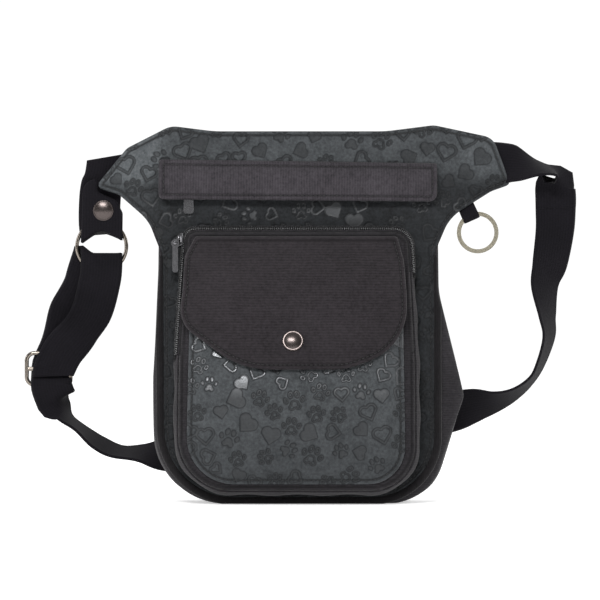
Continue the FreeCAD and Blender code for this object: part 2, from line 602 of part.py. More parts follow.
def make_belt_strap():
    """One length of webbing: wing, round behind, adjuster, ring, and back down to the adjuster."""
    left, right = RING_AT[0] - WEB_W / 2, RING_AT[0] + WEB_W / 2
    turn = BELT_FOLD_Z - FOLD_R
    rear = (LOOP_REAR_Y + WEB_T / 2)
    front = TAIL_Y + WEB_T / 2
    top_rear = [((RING_AT[0], rear + 0.4, turn - 5.0), (-1, 0, 0)), ((RING_AT[0], rear, turn), (-1, 0, 0))]
    top_front = [((RING_AT[0], front, turn), (-1, 0, 0)), ((RING_AT[0], front, turn - 5.0), (-1, 0, 0))]
    long_run = ribbon(BELT_ROUTE + top_rear, WEB_W, WEB_T)
    short_run = ribbon(top_front + BELT_RETURN, WEB_W, WEB_T)
    return long_run.fuse([fold_band(turn, -1, left, right), short_run])


def make_belt_adjuster():
    """A three bar slider between the two layers of webbing."""
    width, height, thickness = ADJUSTER
    x, y, z = ADJUSTER_AT
    corners = [(x - width / 2, z + height / 2, 5), (x + width / 2, z + height / 2, 5),
               (x + width / 2, z - height / 2, 5), (x - width / 2, z - height / 2, 5)]
    frame = prism(corners, y - thickness / 2, y + thickness / 2)
    way = (height - 3 * ADJUSTER_BAR) / 2
    for side in (1, -1):
        middle = z + side * (ADJUSTER_BAR + way) / 2
        frame = frame.cut(box(x - width / 2 + 3.2, x + width / 2 - 3.2, y - 5, y + 5, middle - way / 2, middle + way / 2))
    return frame


# ---------------------------------------------------------------- every sub-part by name
PARTS = {
    "front_panel": make_front_panel(),
    "front_piping": make_front_piping(),
    "main_gusset": make_main_gusset(),
    "back_panel": make_back_panel(),
    "wing_padding_left": make_wing_padding(-1),
    "wing_padding_right": make_wing_padding(1),
    "top_stiffener": make_top_stiffener(),
    "main_zip_tapes": make_main_zip_tapes(),
    "main_zip_coils": make_main_zip_coils(),
    "main_zip_stops": make_main_zip_stops(),
    "main_zip_slider": make_main_zip_slider(),
    "main_zip_pull": make_main_zip_pull(),
    "cover_strip": make_cover_strip(),
    "pocket_gusset": make_pocket_gusset(),
    "pocket_front_wall": make_pocket_front_wall(),
    "pocket_zip_coil": make_pocket_zip_coil(),
    "pocket_zip_stops": make_pocket_zip_stops(),
    "pocket_zip_slider": make_pocket_zip_slider(),
    "pocket_zip_pull": make_pocket_zip_pull(),
    "slip_pocket_panel": make_slip_pocket_panel(),
    "pocket_flap": make_pocket_flap(),
    "flap_snap_cap": place_flap_snap(FLAP_SNAP[0]),
    "flap_snap_socket": place_flap_snap(FLAP_SNAP[1]),
    "flap_snap_stud": place_flap_snap(FLAP_SNAP[2]),
    "key_ring": make_key_ring(),
    "key_ring_tab": make_key_ring_tab(),
    "belt_end_right": make_belt_end_right(),
    "loop_anchor": make_loop_anchor(),
    "loop_back_layer": make_loop_back_layer(),
    "loop_tail": make_loop_tail(),
    "loop_snap_cap": place_loop_snap(LOOP_SNAP_PARTS[0]),
    "loop_snap_socket": place_loop_snap(LOOP_SNAP_PARTS[1]),
    "loop_snap_stud": place_loop_snap(LOOP_SNAP_PARTS[2]),
    "o_ring": make_o_ring(),
    "belt_strap": make_belt_strap(),
    "belt_adjuster": make_belt_adjuster(),
}

os.makedirs("parts", exist_ok=True)
for name, shape in PARTS.items():
    shape.exportStep(os.path.join("parts", name + ".step"))
    print(f"{name:20s} solids {len(shape.Solids)} valid {shape.isValid()} volume {shape.Volume:10.1f}")

for name, value in {
        "main pull pin": (SLIDER_X, MAIN_PULL_Y + 0.6, ZIP_Z),
        "pocket pull pin": (POCKET_PIN_X, POCKET_PULL_Y + 0.6, POCKET_PIN_Z),
        "pocket zip direction": tuple(pocket_zip_direction()),
        "key ring tunnel": tuple(key_tunnel()),
        "flap hinge": (0.0, height_to_y(FLAP_PROFILE, FLAP_TOP) - CANVAS / 2, FLAP_TOP),
        "strip hinge": (0.0, WING_Y - RUN - 0.1 - CANVAS / 2, STRIP_TOP),
        "loop tail hinge": (RING_AT[0], TAIL_Y + WEB_T / 2, LOOP_HINGE_Z)}.items():
    print(name, [round(number, 4) for number in value])
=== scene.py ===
"""Looks of a treat pouch: embossed leather, ribbed canvas, webbing, zips, snaps and rings."""

import math

import bmesh
import bpy
import numpy as np
from mathutils import Matrix, Vector


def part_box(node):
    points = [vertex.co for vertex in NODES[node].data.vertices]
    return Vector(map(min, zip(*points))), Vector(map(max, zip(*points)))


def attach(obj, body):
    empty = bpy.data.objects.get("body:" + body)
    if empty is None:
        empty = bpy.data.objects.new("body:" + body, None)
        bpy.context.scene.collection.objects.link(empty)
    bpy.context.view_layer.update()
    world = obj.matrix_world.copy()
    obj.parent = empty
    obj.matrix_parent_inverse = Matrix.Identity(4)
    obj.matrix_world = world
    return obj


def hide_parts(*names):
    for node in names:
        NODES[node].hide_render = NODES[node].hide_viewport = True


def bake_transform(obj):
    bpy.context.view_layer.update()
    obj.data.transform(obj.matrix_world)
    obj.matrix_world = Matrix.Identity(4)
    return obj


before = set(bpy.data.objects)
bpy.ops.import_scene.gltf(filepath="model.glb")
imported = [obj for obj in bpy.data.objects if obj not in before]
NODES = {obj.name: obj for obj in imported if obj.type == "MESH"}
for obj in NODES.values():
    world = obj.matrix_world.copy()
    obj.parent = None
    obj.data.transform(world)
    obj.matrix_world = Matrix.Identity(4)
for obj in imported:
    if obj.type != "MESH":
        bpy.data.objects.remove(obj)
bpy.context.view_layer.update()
MM = 0.001

# ---------------------------------------------------------------- sizes, in millimetres
LEATHER = 2.0
CANVAS = 1.6
WEB_W = 30.0
WEB_T = 1.6
FRONT_Y = -24.0             # front of the body at its foot
WING_Y = 16.0               # front of the body at the wings
BACK_Y = 24.0
SLOPE_FOOT = 60.0
SLOPE_TOP = 205.0
POCKET_DEPTH = 22.0
POCKET_DEPTH_TOP = 14.0
POCKET_TOP = 196.0
GUSSET_TOP = 200.0
SLIP_STAND = 8.0            # slip pocket face in front of the pocket face
FLAP_STAND = 10.7           # inside of the flap in front of the pocket face
ZIP_Z = 224.0
ZIP_HALF_SLOT = 5.5
STITCH_PITCH = 3.1
RING_AT = (-143.0, 22.7, 183.0)
TOOTH_PITCH = 1.35

# Outlines from the front: x, z and corner radius, clockwise.
SEAM_OUTLINE = [
    (-93.0, 269.5, 16), (-62.0, 265.6, 90), (62.0, 265.6, 90), (96.5, 270.0, 16), (139.0, 261.0, 12),
    (151.5, 228.0, 3), (137.5, 223.0, 14), (108.0, 204.5, 34), (96.5, 180.0, 34),
    (95.5, 4.5, 44), (-96.0, 4.0, 50),
    (-98.8, 178.0, 34), (-109.0, 202.0, 34), (-130.0, 220.5, 14), (-147.0, 226.0, 3), (-124.5, 253.5, 10)]
BODY_OUTLINE = [
    (-100.6, 204.0, 0), (98.2, 204.0, 0), (98.4, 150.0, 60), (115.6, 76.0, 8), (91.0, 0.0, 40), (-101.5, 0.0, 50),
    (-103.4, 90.0, 60), (-100.7, 165.0, 60)]
POCKET_OUTLINE = [
    (-83.0, 196.0, 9), (80.0, 196.0, 14), (84.0, 100.0, 60),
    (84.0, 7.5, 34), (-88.5, 7.5, 40), (-88.5, 100.0, 60)]
SLIP_OUTLINE = [(-78.0, 152.0, 0), (73.0, 152.0, 0), (74.0, 15.0, 26), (-80.0, 15.0, 33)]
FLAP_OUTLINE = [
    (-74.5, 190.0, 3), (69.5, 190.0, 3), (74.0, 172.0, 24), (75.5, 150.0, 30),
    (76.0, 112.0, 40), (33.0, 95.5, 50),
    (-41.0, 95.5, 60), (-86.0, 128.0, 22), (-83.0, 152.0, 30), (-82.0, 176.0, 14)]
STRIP_OUTLINE = [(-101.5, 245.6, 2), (98.5, 242.8, 2), (98.5, 215.0, 6), (-101.5, 216.6, 4)]
LOOP_END_OUTLINE = [
    (-156.4, 231.0, 10), (-145.5, 231.6, 3), (-146.5, 222.5, 4), (-132.0, 216.0, 6), (-127.6, 207.0, 4),
    (-127.9, 188.4, 0), (-157.8, 188.4, 0)]

# Belt: the middle of the webbing and the direction across it.
BELT_ROUTE = [
    ((154.4, 21.0, 242.8), (0.01, 0.42, 0.91)), ((159.4, 21.2, 242.0), (0.03, 0.60, 0.80)),
    ((165.0, 21.8, 241.2), (0.04, 0.80, 0.60)), ((171.0, 22.8, 240.4), (0.06, 0.91, 0.40)),
    ((177.5, 24.6, 239.2), (0.10, 0.96, 0.24)),
    ((184.0, 26.5, 237.0), (0.25, 0.96, 0.08)), ((187.0, 28.0, 233.0), (0.70, 0.66, -0.28)),
    ((184.8, 28.8, 227.0), (0.93, 0.22, -0.30)), ((185.0, 29.2, 218.0), (0.98, 0.12, -0.18)),
    ((185.0, 29.6, 210.6), (0.98, 0.18, -0.10)),
    ((184.6, 31.0, 194.5), (0.95, 0.30, -0.03)), ((181.2, 33.0, 170.5), (0.88, 0.47, -0.05)),
    ((177.8, 35.0, 155.0), (0.70, 0.70, -0.12)), ((179.6, 37.5, 133.0), (0.46, 0.88, -0.10)),
    ((180.6, 39.2, 117.0), (0.33, 0.94, -0.04)), ((173.8, 41.0, 95.8), (0.22, 0.97, -0.08)),
    ((166.8, 42.0, 85.0), (0.10, 0.97, -0.20)), ((155.5, 43.0, 76.0), (0.16, 0.94, -0.28)),
    ((141.5, 44.0, 70.2), (0.24, 0.83, -0.50)), ((125.5, 44.0, 67.0), (0.22, 0.50, -0.83)),
    ((106.0, 42.5, 62.0), (-0.10, 0.12, -0.99)), ((60.0, 36.0, 52.0), (-0.12, 0.0, -0.99)),
    ((0.0, 33.0, 42.0), (-0.10, 0.0, -0.99)), ((-58.0, 36.0, 35.0), (0.02, 0.0, -1.0)),
    ((-96.0, 41.0, 32.6), (0.26, -0.60, -0.75)), ((-115.5, 43.0, 33.1), (0.14, -0.90, -0.38)),
    ((-132.6, 43.0, 34.4), (-0.30, -0.92, -0.20)), ((-147.0, 42.0, 41.0), (-0.26, -0.94, -0.19)),
    ((-159.8, 41.0, 51.2), (-0.17, -0.97, -0.08)), ((-168.4, 40.0, 58.4), (-0.24, -0.97, -0.06)),
    ((-172.4, 38.4, 65.4), (-0.42, -0.90, -0.14)), ((-175.4, 36.0, 69.6), (-0.72, -0.68, -0.10)),
    ((-177.0, 32.2, 73.8), (-0.98, -0.18, -0.02)), ((-178.6, 31.1, 78.0), (-1.0, 0.0, 0.0)),
    ((-179.8, 31.2, 82.0), (-1.0, 0.0, 0.0)),
    ((-179.9, 31.5, 85.4), (-1.0, 0.0, 0.0)), ((-179.9, 36.9, 91.8), (-1.0, 0.0, 0.0)),
    ((-179.4, 37.0, 97.0), (-0.99, 0.0, -0.10)), ((-175.0, 37.0, 107.0), (-0.93, 0.0, -0.36)),
    ((-168.0, 35.9, 120.0), (-0.88, 0.0, -0.46)), ((-159.0, 33.0, 136.0), (-0.93, 0.0, -0.34)),
    ((-148.5, 28.8, 154.0), (-0.99, 0.0, -0.08))]
BELT_RETURN = [
    ((-144.2, 20.0, 158.0), (-0.99, 0.0, -0.06)), ((-150.4, 25.6, 136.0), (-0.93, 0.0, -0.34)),
    ((-161.0, 30.0, 120.0), (-0.87, 0.0, -0.48)), ((-171.6, 31.2, 107.0), (-0.92, 0.0, -0.38)),
    ((-178.0, 31.2, 94.0), (-0.97, 0.0, -0.24)), ((-178.6, 31.2, 89.2), (-1.0, 0.0, 0.0))]
BELT_SPLIT = 9              # the stations before this bend between the wing and the belt
TAIL_MID_Y = 20.2           # middle of the front layer at the ring
REAR_MID_Y = 25.2           # middle of the rear layer at the ring
LOOP_TURN_Z = 190.3
BELT_TURN_Z = 175.1


# ---------------------------------------------------------------- shader expressions
class Val:
    """A shader socket with arithmetic: an expression on it adds its Math nodes."""

    def __init__(self, shader, socket):
        self.shader = shader
        self.socket = socket

    def _math(self, operation, first, second):
        node = self.shader.node("ShaderNodeMath", {"operation": operation}, {0: first, 1: second})
        return node.out("Value")

    def __add__(self, other):
        return self._math("ADD", self, other)

    __radd__ = __add__

    def __mul__(self, other):
        return self._math("MULTIPLY", self, other)

    __rmul__ = __mul__

    def __sub__(self, other):
        return self._math("SUBTRACT", self, other)

    def __rsub__(self, other):
        return self._math("SUBTRACT", other, self)

    def sine(self):
        return self._math("SINE", self, 0.0)

    def clamp(self, low, high):
        return self._math("MINIMUM", self._math("MAXIMUM", self, low), high)


class Node:
    def __init__(self, shader, node):
        self.shader = shader
        self.bl = node

    def out(self, name):
        return Val(self.shader, self.bl.outputs[name])


class Shader:
    """A node material built in code."""

    def __init__(self, name):
        self.material = bpy.data.materials.new(name)
        self.material.use_nodes = True
        self.tree = self.material.node_tree
        self.tree.nodes.clear()

    def node(self, kind, settings, sockets):
        made = self.tree.nodes.new(kind)
        for key, value in settings.items():
            setattr(made, key, value)
        for key, value in sockets.items():
            if isinstance(value, Val):
                self.tree.links.new(value.socket, made.inputs[key])
            else:
                made.inputs[key].default_value = value
        return Node(self, made)

    def coords(self, kind="Object"):
        return self.node("ShaderNodeTexCoord", {}, {}).out(kind)

    def axis(self, vector, letter):
        return self.node("ShaderNodeSeparateXYZ", {}, {0: vector}).out(letter)

    def noise(self, vector, scale, detail=3.0, rough=0.55):
        sockets = {"Vector": vector, "Scale": scale, "Detail": detail, "Roughness": rough}
        return self.node("ShaderNodeTexNoise", {}, sockets).out("Fac")

    def attribute(self, name):
        return self.node("ShaderNodeAttribute", {"attribute_name": name}, {}).out("Fac")

    def mix(self, share, first, second):
        sockets = {0: share, 6: first, 7: second}
        node = self.node("ShaderNodeMix", {"data_type": "RGBA"}, sockets)
        return Val(self, node.bl.outputs[2])

    def bump(self, height, strength, distance, normal=None):
        sockets = {"Strength": strength, "Distance": distance, "Height": height}
        if normal is not None:
            sockets["Normal"] = normal
        return self.node("ShaderNodeBump", {}, sockets).out("Normal")

    def finish(self, sockets):
        surface = self.node("ShaderNodeBsdfPrincipled", {}, sockets)
        output = self.tree.nodes.new("ShaderNodeOutputMaterial")
        self.tree.links.new(surface.bl.outputs["BSDF"], output.inputs["Surface"])
        return self.material


def rgb(red, green, blue):
    return (red, green, blue, 1.0)


def leather_material():
    """Charcoal nubuck: mottled and matt, darker in its stamps with painted shade on their walls, lighter where worn
    and with painted light towards the top, and glossy, lighter stamps as a painted highlight.
    """
    shader = Shader("embossed_leather")
    at = shader.coords()
    press = shader.attribute("press")
    gloss = shader.attribute("gloss")
    wear = shader.attribute("wear").clamp(0.0, 1.0)
    cloud = shader.noise(at, 30.0, 3.0, 0.6)
    mottle = shader.noise(at, 130.0, 5.0, 0.68)
    nap = shader.noise(at, 520.0, 3.0, 0.6)
    grain = shader.noise(at, 1500.0, 2.0, 0.6)
    tone = ((mottle - 0.5) * 1.5 + (nap - 0.5) * 1.5 + (cloud - 0.5) * 0.8 + 0.5).clamp(0.0, 1.0)
    base = shader.mix(tone, rgb(0.0038, 0.0044, 0.0052), rgb(0.0190, 0.0212, 0.0238))
    # lighter tone, mixed in where the leather is worn and where painted light falls towards the top
    worn_and_lit_tone = shader.mix(tone, rgb(0.042, 0.047, 0.051), rgb(0.098, 0.106, 0.112))
    pale = shader.mix(wear, base, worn_and_lit_tone)
    # painted shade: the sloping walls of each stamp are darker, as shade in the pressed relief
    stamp_wall_shade = (press * (press * -1.0 + 1.0) * 4.0).clamp(0.0, 1.0)
    stamped = shader.mix(press * 0.55, pale, rgb(0.008, 0.009, 0.0105))
    colour = shader.mix(stamp_wall_shade * 0.65, stamped, rgb(0.0035, 0.004, 0.0048))
    # painted highlight: where the field is set, the stamps turn lighter, glossy and metallic
    highlighted_colour = shader.mix(gloss, colour, rgb(0.10, 0.104, 0.11))
    rough = (0.78 - press * 0.18 - gloss * 0.34 + (nap - 0.5) * 0.16).clamp(0.12, 0.95)
    fine = shader.bump(grain, 0.30, 0.0004)
    soft = shader.bump(nap, 0.35, 0.0010, fine)
    return shader.finish({
        "Base Color": highlighted_colour, "Roughness": rough, "Metallic": gloss * 0.85, "Normal": soft,
        "Coat Weight": gloss * 0.5, "Coat Roughness": 0.25, "Specular IOR Level": 0.25})


def canvas_material(name, rib_axis, dark, light, pitch=0.00125):
    """Ribbed canvas: fine cords across one axis, with slubs and faded patches, darker along a sewn groove as
    painted shade.
    """
    shader = Shader(name)
    at = shader.coords()
    turn = 2 * math.pi / pitch
    slub = shader.noise(at, 900.0, 2.0)
    cords = (shader.axis(at, rib_axis) * turn + (shader.noise(at, 60.0, 2.0) - 0.5) * 5.0).sine() * 0.5 + 0.5
    patches = shader.noise(at, 26.0, 4.0, 0.6)
    weave = shader.noise(at, 420.0, 2.0, 0.7)
    tone = (cords * 0.17 + (patches - 0.5) * 0.7 + (weave - 0.5) * 0.9 + slub * 0.3 + 0.22).clamp(0.0, 1.0)
    # painted shade: the canvas is darker along the sewn groove
    sewn = shader.attribute("seam").clamp(0.0, 1.0)
    seam_shade_colour = tuple(0.4 * value for value in dark[:3]) + (1.0,)
    colour = shader.mix(sewn * 0.75, shader.mix(tone, dark, light), seam_shade_colour)
    normal = shader.bump(cords * 0.6 + slub * 0.5 + weave * 0.4, 0.55, 0.00035)
    return shader.finish({
        "Base Color": colour, "Roughness": 0.9, "Normal": normal, "Sheen Weight": 0.08,
        "Sheen Roughness": 0.5, "Specular IOR Level": 0.15})


def webbing_material(name, dark, light):
    """Belt webbing: ribs across its width and a flat selvedge, from its own map in metres."""
    shader = Shader(name)
    lie = shader.coords("UV")
    at = shader.coords()
    across = shader.axis(lie, "Y")
    along = shader.axis(lie, "X")
    ribs = (across * (2 * math.pi / 0.0021)).sine() * 0.5 + 0.5
    picks = (along * (2 * math.pi / 0.0011)).sine() * 0.5 + 0.5
    fade = shader.noise(at, 30.0, 4.0)
    fuzz = shader.noise(at, 1400.0, 2.0)
    colour = shader.mix((ribs * 0.16 + picks * 0.12 + fade * 0.6 - 0.1 + fuzz * 0.3).clamp(0.0, 1.0), dark, light)
    normal = shader.bump(ribs * 0.30 + picks * 0.3 + fuzz * 0.4, 0.4, 0.0003)
    return shader.finish({
        "Base Color": colour, "Roughness": 0.88, "Normal": normal, "Sheen Weight": 0.05,
        "Sheen Roughness": 0.4, "Specular IOR Level": 0.08})


def metal_material(name, colour, rough, metallic=1.0):
    """Plated metal with fine handling marks."""
    shader = Shader(name)
    at = shader.coords()
    marks = shader.noise(at, 700.0, 4.0, 0.7)
    smear = shader.noise(at, 90.0, 3.0)
    tint = shader.mix(smear, colour, tuple(0.75 * value for value in colour[:3]) + (1.0,))
    return shader.finish({
        "Base Color": tint, "Metallic": metallic, "Roughness": (rough + (marks - 0.5) * 0.12 + smear * 0.08),
        "Normal": shader.bump(marks, 0.08, 0.0001)})


def thread_material():
    """Waxed sewing thread with its twist."""
    shader = Shader("thread")
    at = shader.coords()
    twist = ((shader.axis(at, "X") + shader.axis(at, "Z")) * (2 * math.pi / 0.0006)).sine() * 0.5 + 0.5
    colour = shader.mix(twist, rgb(0.0025, 0.0025, 0.003), rgb(0.010, 0.010, 0.011))
    return shader.finish({"Base Color": colour, "Roughness": 0.6, "Normal": shader.bump(twist, 0.4, 0.0001)})


def coil_material():
    """Black nylon coil."""
    shader = Shader("zip_coil")
    cloud = shader.noise(shader.coords(), 300.0, 2.0)
    return shader.finish({
        "Base Color": shader.mix(cloud, rgb(0.010, 0.010, 0.011), rgb(0.028, 0.028, 0.030)),
        "Roughness": 0.22 + cloud * 0.1, "Specular IOR Level": 0.8, "Coat Weight": 0.6, "Coat Roughness": 0.1})


def floor_material():
    """Matt white paper."""
    shader = Shader("paper")
    cloud = shader.noise(shader.coords(), 3.0, 2.0)
    return shader.finish({
        "Base Color": shader.mix(cloud, rgb(0.90, 0.90, 0.90), rgb(0.92, 0.92, 0.92)), "Roughness": 0.9,
        "Emission Color": rgb(1.0, 1.0, 1.0), "Emission Strength": 0.45})


LEATHER_LOOK = leather_material()
STRIP_LOOK = canvas_material("strip_canvas", "X", rgb(0.012, 0.0107, 0.0125), rgb(0.066, 0.059, 0.068), 0.0019)
FLAP_LOOK = canvas_material("flap_canvas", "Z", rgb(0.006, 0.0050, 0.0058), rgb(0.034, 0.029, 0.033), 0.0019)
BODY_LOOK = canvas_material("body_canvas", "Z", rgb(0.006, 0.0055, 0.0064), rgb(0.033, 0.030, 0.034), 0.0017)
BINDING_LOOK = canvas_material("binding", "X", rgb(0.004, 0.004, 0.004), rgb(0.014, 0.012, 0.014), 0.0012)
WEB_LOOK = webbing_material("webbing", rgb(0.0015, 0.0014, 0.0020), rgb(0.0120, 0.0108, 0.0140))
TAPE_LOOK = canvas_material("zip_tape", "X", rgb(0.006, 0.006, 0.006), rgb(0.018, 0.018, 0.019), 0.0007)
THREAD_LOOK = thread_material()
COIL_LOOK = coil_material()
NICKEL_LOOK = metal_material("nickel", rgb(0.66, 0.61, 0.48), 0.16)
RING_LOOK = metal_material("dark_nickel", rgb(0.25, 0.22, 0.19), 0.12)
GUNMETAL_LOOK = metal_material("gunmetal", rgb(0.105, 0.088, 0.084), 0.24)
ENAMEL_LOOK = metal_material("black_enamel", rgb(0.20, 0.20, 0.21), 0.16, 1.0)


# ---------------------------------------------------------------- outlines
def outline_points(corners, arc_steps=10):
    """The rounded outline as a closed run of points."""
    points = []
    count = len(corners)
    for index, (x, z, radius) in enumerate(corners):
        here = Vector((x, z))
        before = (Vector(corners[index - 1][:2]) - here).normalized()
        after = (Vector(corners[(index + 1) % count][:2]) - here).normalized()
        if radius == 0:
            points.append(here)
            continue
        half = before.angle(after) / 2
        reach = radius / math.tan(half)
        centre = here + (before + after).normalized() * (radius / math.sin(half))
        first = here + before * reach - centre
        last = here + after * reach - centre
        swing = first.angle_signed(last)
        for step in range(arc_steps + 1):
            turned = first.copy()
            turned.rotate(Matrix.Rotation(-swing * step / arc_steps, 2))
            points.append(centre + turned)
    return np.array([tuple(point) for point in points])


def resampled(points, spacing, closed=True):
    """Evenly spaced points along a run."""
    loop = np.vstack([points, points[:1]]) if closed else points
    steps = np.linalg.norm(np.diff(loop, axis=0), axis=1)
    length = np.concatenate([[0], np.cumsum(steps)])
    count = max(2, int(round(length[-1] / spacing)))
    marks = np.linspace(0, length[-1], count + 1)[:count if closed else count + 1]
    return np.stack([np.interp(marks, length, loop[:, k]) for k in range(loop.shape[1])], axis=1)


def distance_inside(points, query):
    """How far each query point is inside the closed outline (negative outside), and the nearest edge point."""
    start = points
    step = np.roll(points, -1, axis=0) - start
    size = np.maximum((step ** 2).sum(axis=1), 1e-12)
    best = np.full(len(query), np.inf)
    nearest = np.zeros_like(query)
    inside = np.zeros(len(query), bool)
    for corner, edge, square in zip(start, step, size):
        rel = query - corner
        share = np.clip((rel @ edge) / square, 0, 1)
        foot = corner + share[:, None] * edge
        gap = ((query - foot) ** 2).sum(axis=1)
        closer = gap < best
        best[closer] = gap[closer]
        nearest[closer] = foot[closer]
        crosses = (corner[1] > query[:, 1]) != (corner[1] + edge[1] > query[:, 1])
        if abs(edge[1]) > 1e-12:
            inside ^= crosses & (query[:, 0] < corner[0] + edge[0] * (query[:, 1] - corner[1]) / edge[1])
    return np.where(inside, 1, -1) * np.sqrt(best), nearest


def inset_run(points, inset):
    """A closed run moved inwards along its own normals."""
    ahead = np.roll(points, -1, axis=0) - np.roll(points, 1, axis=0)
    ahead /= np.maximum(np.linalg.norm(ahead, axis=1), 1e-9)[:, None]
    return points + np.stack([ahead[:, 1], -ahead[:, 0]], axis=1) * inset


# ---------------------------------------------------------------- surfaces
def soft_step(share, sharpness=16.0):
    """0 to 1 in a straight line with rounded ends."""
    low = np.logaddexp(0, sharpness * share)
    high = np.logaddexp(0, sharpness * (share - 1))
    return (low - high) / sharpness


def ease(share):
    share = np.clip(share, 0, 1)
    return share * share * (3 - 2 * share)


def ripple(x, z):
    """Slow unevenness of soft goods, about one millimetre from crest to hollow."""
    return (0.35 * np.sin(x * 0.071 + z * 0.043) + 0.30 * np.sin(x * 0.038 - z * 0.089 + 1.3)
            + 0.18 * np.sin(x * 0.152 + z * 0.118 + 0.6))


def panel_y(x, z):
    """Front face of the body."""
    lean = WING_Y + (FRONT_Y - WING_Y) * soft_step((SLOPE_TOP - z) / (SLOPE_TOP - SLOPE_FOOT))
    wing = ease((np.abs(x) - 92.0) / 60.0) * 1.4
    return lean + wing + 0.7 * ripple(x, z)


def pocket_y(x, z):
    """Front face of the zipped pocket."""
    top = WING_Y + (FRONT_Y - WING_Y) * (SLOPE_TOP - POCKET_TOP) / (SLOPE_TOP - SLOPE_FOOT) - POCKET_DEPTH_TOP
    foot = FRONT_Y - POCKET_DEPTH
    lean = top + (foot - top) * soft_step((POCKET_TOP - z) / (POCKET_TOP - SLOPE_FOOT), 12.0)
    return lean + 0.6 * ripple(x + 40, z)


def slip_y(x, z, inside):
    """Face of the leather slip pocket: full in the middle, sewn down along its edge."""
    rise = 2.2 + (SLIP_STAND - 2.2) * ease(inside / 13.0)
    return pocket_y(x, z) - rise


def flap_y(x, z):
    """Outer face of the flap: it comes out over the slip pocket and hangs."""
    out = 1.8 + (FLAP_STAND + CANVAS - 1.8) * ease((190.0 - z) / 36.0)
    edge_curl = 1.8 * ease((np.abs(x + 5) - 45.0) / 34.0) * ease((185.0 - z) / 30.0)
    return pocket_y(x, z) - out + edge_curl + 0.5 * ripple(z, x)


def strip_y(x, z):
    """Face of the strip over the main zip: sewn down at the top, proud below."""
    return panel_y(x, z) - 1.2 - 5.6 * ease((244.5 - z) / 10.0) - 0.4 * ripple(x * 1.3, z) - 0.5


# ---------------------------------------------------------------- stamped pattern
def heart_distance(u, v):
    """Signed distance of a heart of height about 1, point down, negative inside."""
    u = np.abs(u)
    v = v + 0.5
    upper = np.hypot(u - 0.25, v - 0.75) - math.sqrt(2) / 4
    fold = 0.5 * np.maximum(u + v, 0)
    lower = np.sqrt(np.minimum(u ** 2 + (v - 1) ** 2, (u - fold) ** 2 + (v - fold) ** 2)) * np.sign(u - v)
    return np.where(u + v > 1, upper, lower)


def oval_distance(u, v, half_u, half_v, turn):
    """Near signed distance of a turned oval."""
    a, b = u * math.cos(turn) + v * math.sin(turn), v * math.cos(turn) - u * math.sin(turn)
    return (np.hypot(a / half_u, b / half_v) - 1) * min(half_u, half_v)


def paw_distance(u, v):
    """Signed distance of a paw print: a lobed pad and four toes."""
    side = np.abs(u)
    pad = np.minimum(
        oval_distance(u, v + 0.12, 0.20, 0.19, 0.0), oval_distance(side - 0.15, v + 0.25, 0.14, 0.13, 0.0))
    toes = np.minimum(oval_distance(side - 0.15, v - 0.34, 0.115, 0.165, 0.15),
                      oval_distance(side - 0.40, v - 0.09, 0.105, 0.145, -0.35))
    return np.minimum(pad, toes)


PAW_KINDS = (3, 4, 5, 6)
OUTLINED_KINDS = (0, 1, 3, 4, 5)


def scatter(outline, gap, margin, seed):
    """Stamp places: x, z, size, turn and kind, evenly strewn inside an outline."""
    draw = np.random.default_rng(seed)
    low, high = outline.min(axis=0), outline.max(axis=0)
    kept = []
    for x, z, size, turn, kind in zip(
            draw.uniform(low[0], high[0], 9000), draw.uniform(low[1], high[1], 9000),
            draw.uniform(0, 1, 9000), draw.normal(0, 0.75, 9000), draw.integers(0, 7, 9000)):
        scale = 11.5 + 4.0 * size if kind in PAW_KINDS else 7.5 + 5.0 * size ** 0.7
        if all((x - other[0]) ** 2 + (z - other[1]) ** 2 > (gap + (scale + other[2]) * 0.5) ** 2
               for other in kept):
            kept.append((x, z, scale, turn, kind))
    inside, _ = distance_inside(outline, np.array([(x, z) for x, z, *_ in kept]))
    return [stamp for stamp, depth in zip(kept, inside) if depth > margin]


def press_field(x, z, stamps):
    """1 where the leather is pressed down by a stamp, 0 on the open face."""
    field = np.zeros(len(x))
    for cx, cz, size, turn, kind in stamps:
        near = (np.abs(x - cx) < size * 0.95) & (np.abs(z - cz) < size * 0.95)
        if not near.any():
            continue
        u, v = (x[near] - cx) / size, (z[near] - cz) / size
        u, v = u * math.cos(turn) + v * math.sin(turn), v * math.cos(turn) - u * math.sin(turn)
        gap = (paw_distance(u, v) if kind in PAW_KINDS else heart_distance(u, v)) * size
        if kind in OUTLINED_KINDS:
            half_line = 0.50 if kind in PAW_KINDS else 0.85
            gap = np.abs(gap + half_line * 0.7) - half_line
        field[near] = np.maximum(field[near], ease(0.5 - gap / 0.9))
    return field


# ---------------------------------------------------------------- mesh makers
def as_mesh(work, places=None, values=None):
    """A finished bmesh becomes a mesh, its vertices put at places in millimetres."""
    mesh = bpy.data.meshes.new("mesh")
    work.to_mesh(mesh)
    work.free()
    if places is not None:
        mesh.vertices.foreach_set("co", (places * MM).astype(np.float32).ravel())
    for name, value in (values or {}).items():
        mesh.attributes.new(name, "FLOAT", "POINT").data.foreach_set("value", value.astype(np.float32))
    return mesh


def new_piece(name, work, look, body, replaced=()):
    """A finished mesh or bmesh becomes a piece on a body."""
    mesh = as_mesh(work) if isinstance(work, bmesh.types.BMesh) else work
    mesh.name = name
    mesh.shade_smooth()
    piece = bpy.data.objects.new(name, mesh)
    bpy.context.scene.collection.objects.link(piece)
    mesh.materials.append(look)
    if replaced:
        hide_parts(*replaced)
    if body:
        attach(piece, body)
    return piece


def thicken(piece, thickness, offset=-1.0, rim_only=False):
    solid = piece.modifiers.new("thickness", "SOLIDIFY")
    solid.use_rim_only = rim_only
    solid.thickness = thickness * MM
    solid.offset = offset
    return piece


def unit_grid(columns, rows):
    """A grid of faces from 0 to 1, and the places of its vertices."""
    work = bmesh.new()
    bmesh.ops.create_grid(work, x_segments=columns, y_segments=rows, size=0.5)
    places = np.array([(vertex.co.x + 0.5, vertex.co.y + 0.5) for vertex in work.verts])
    return work, places


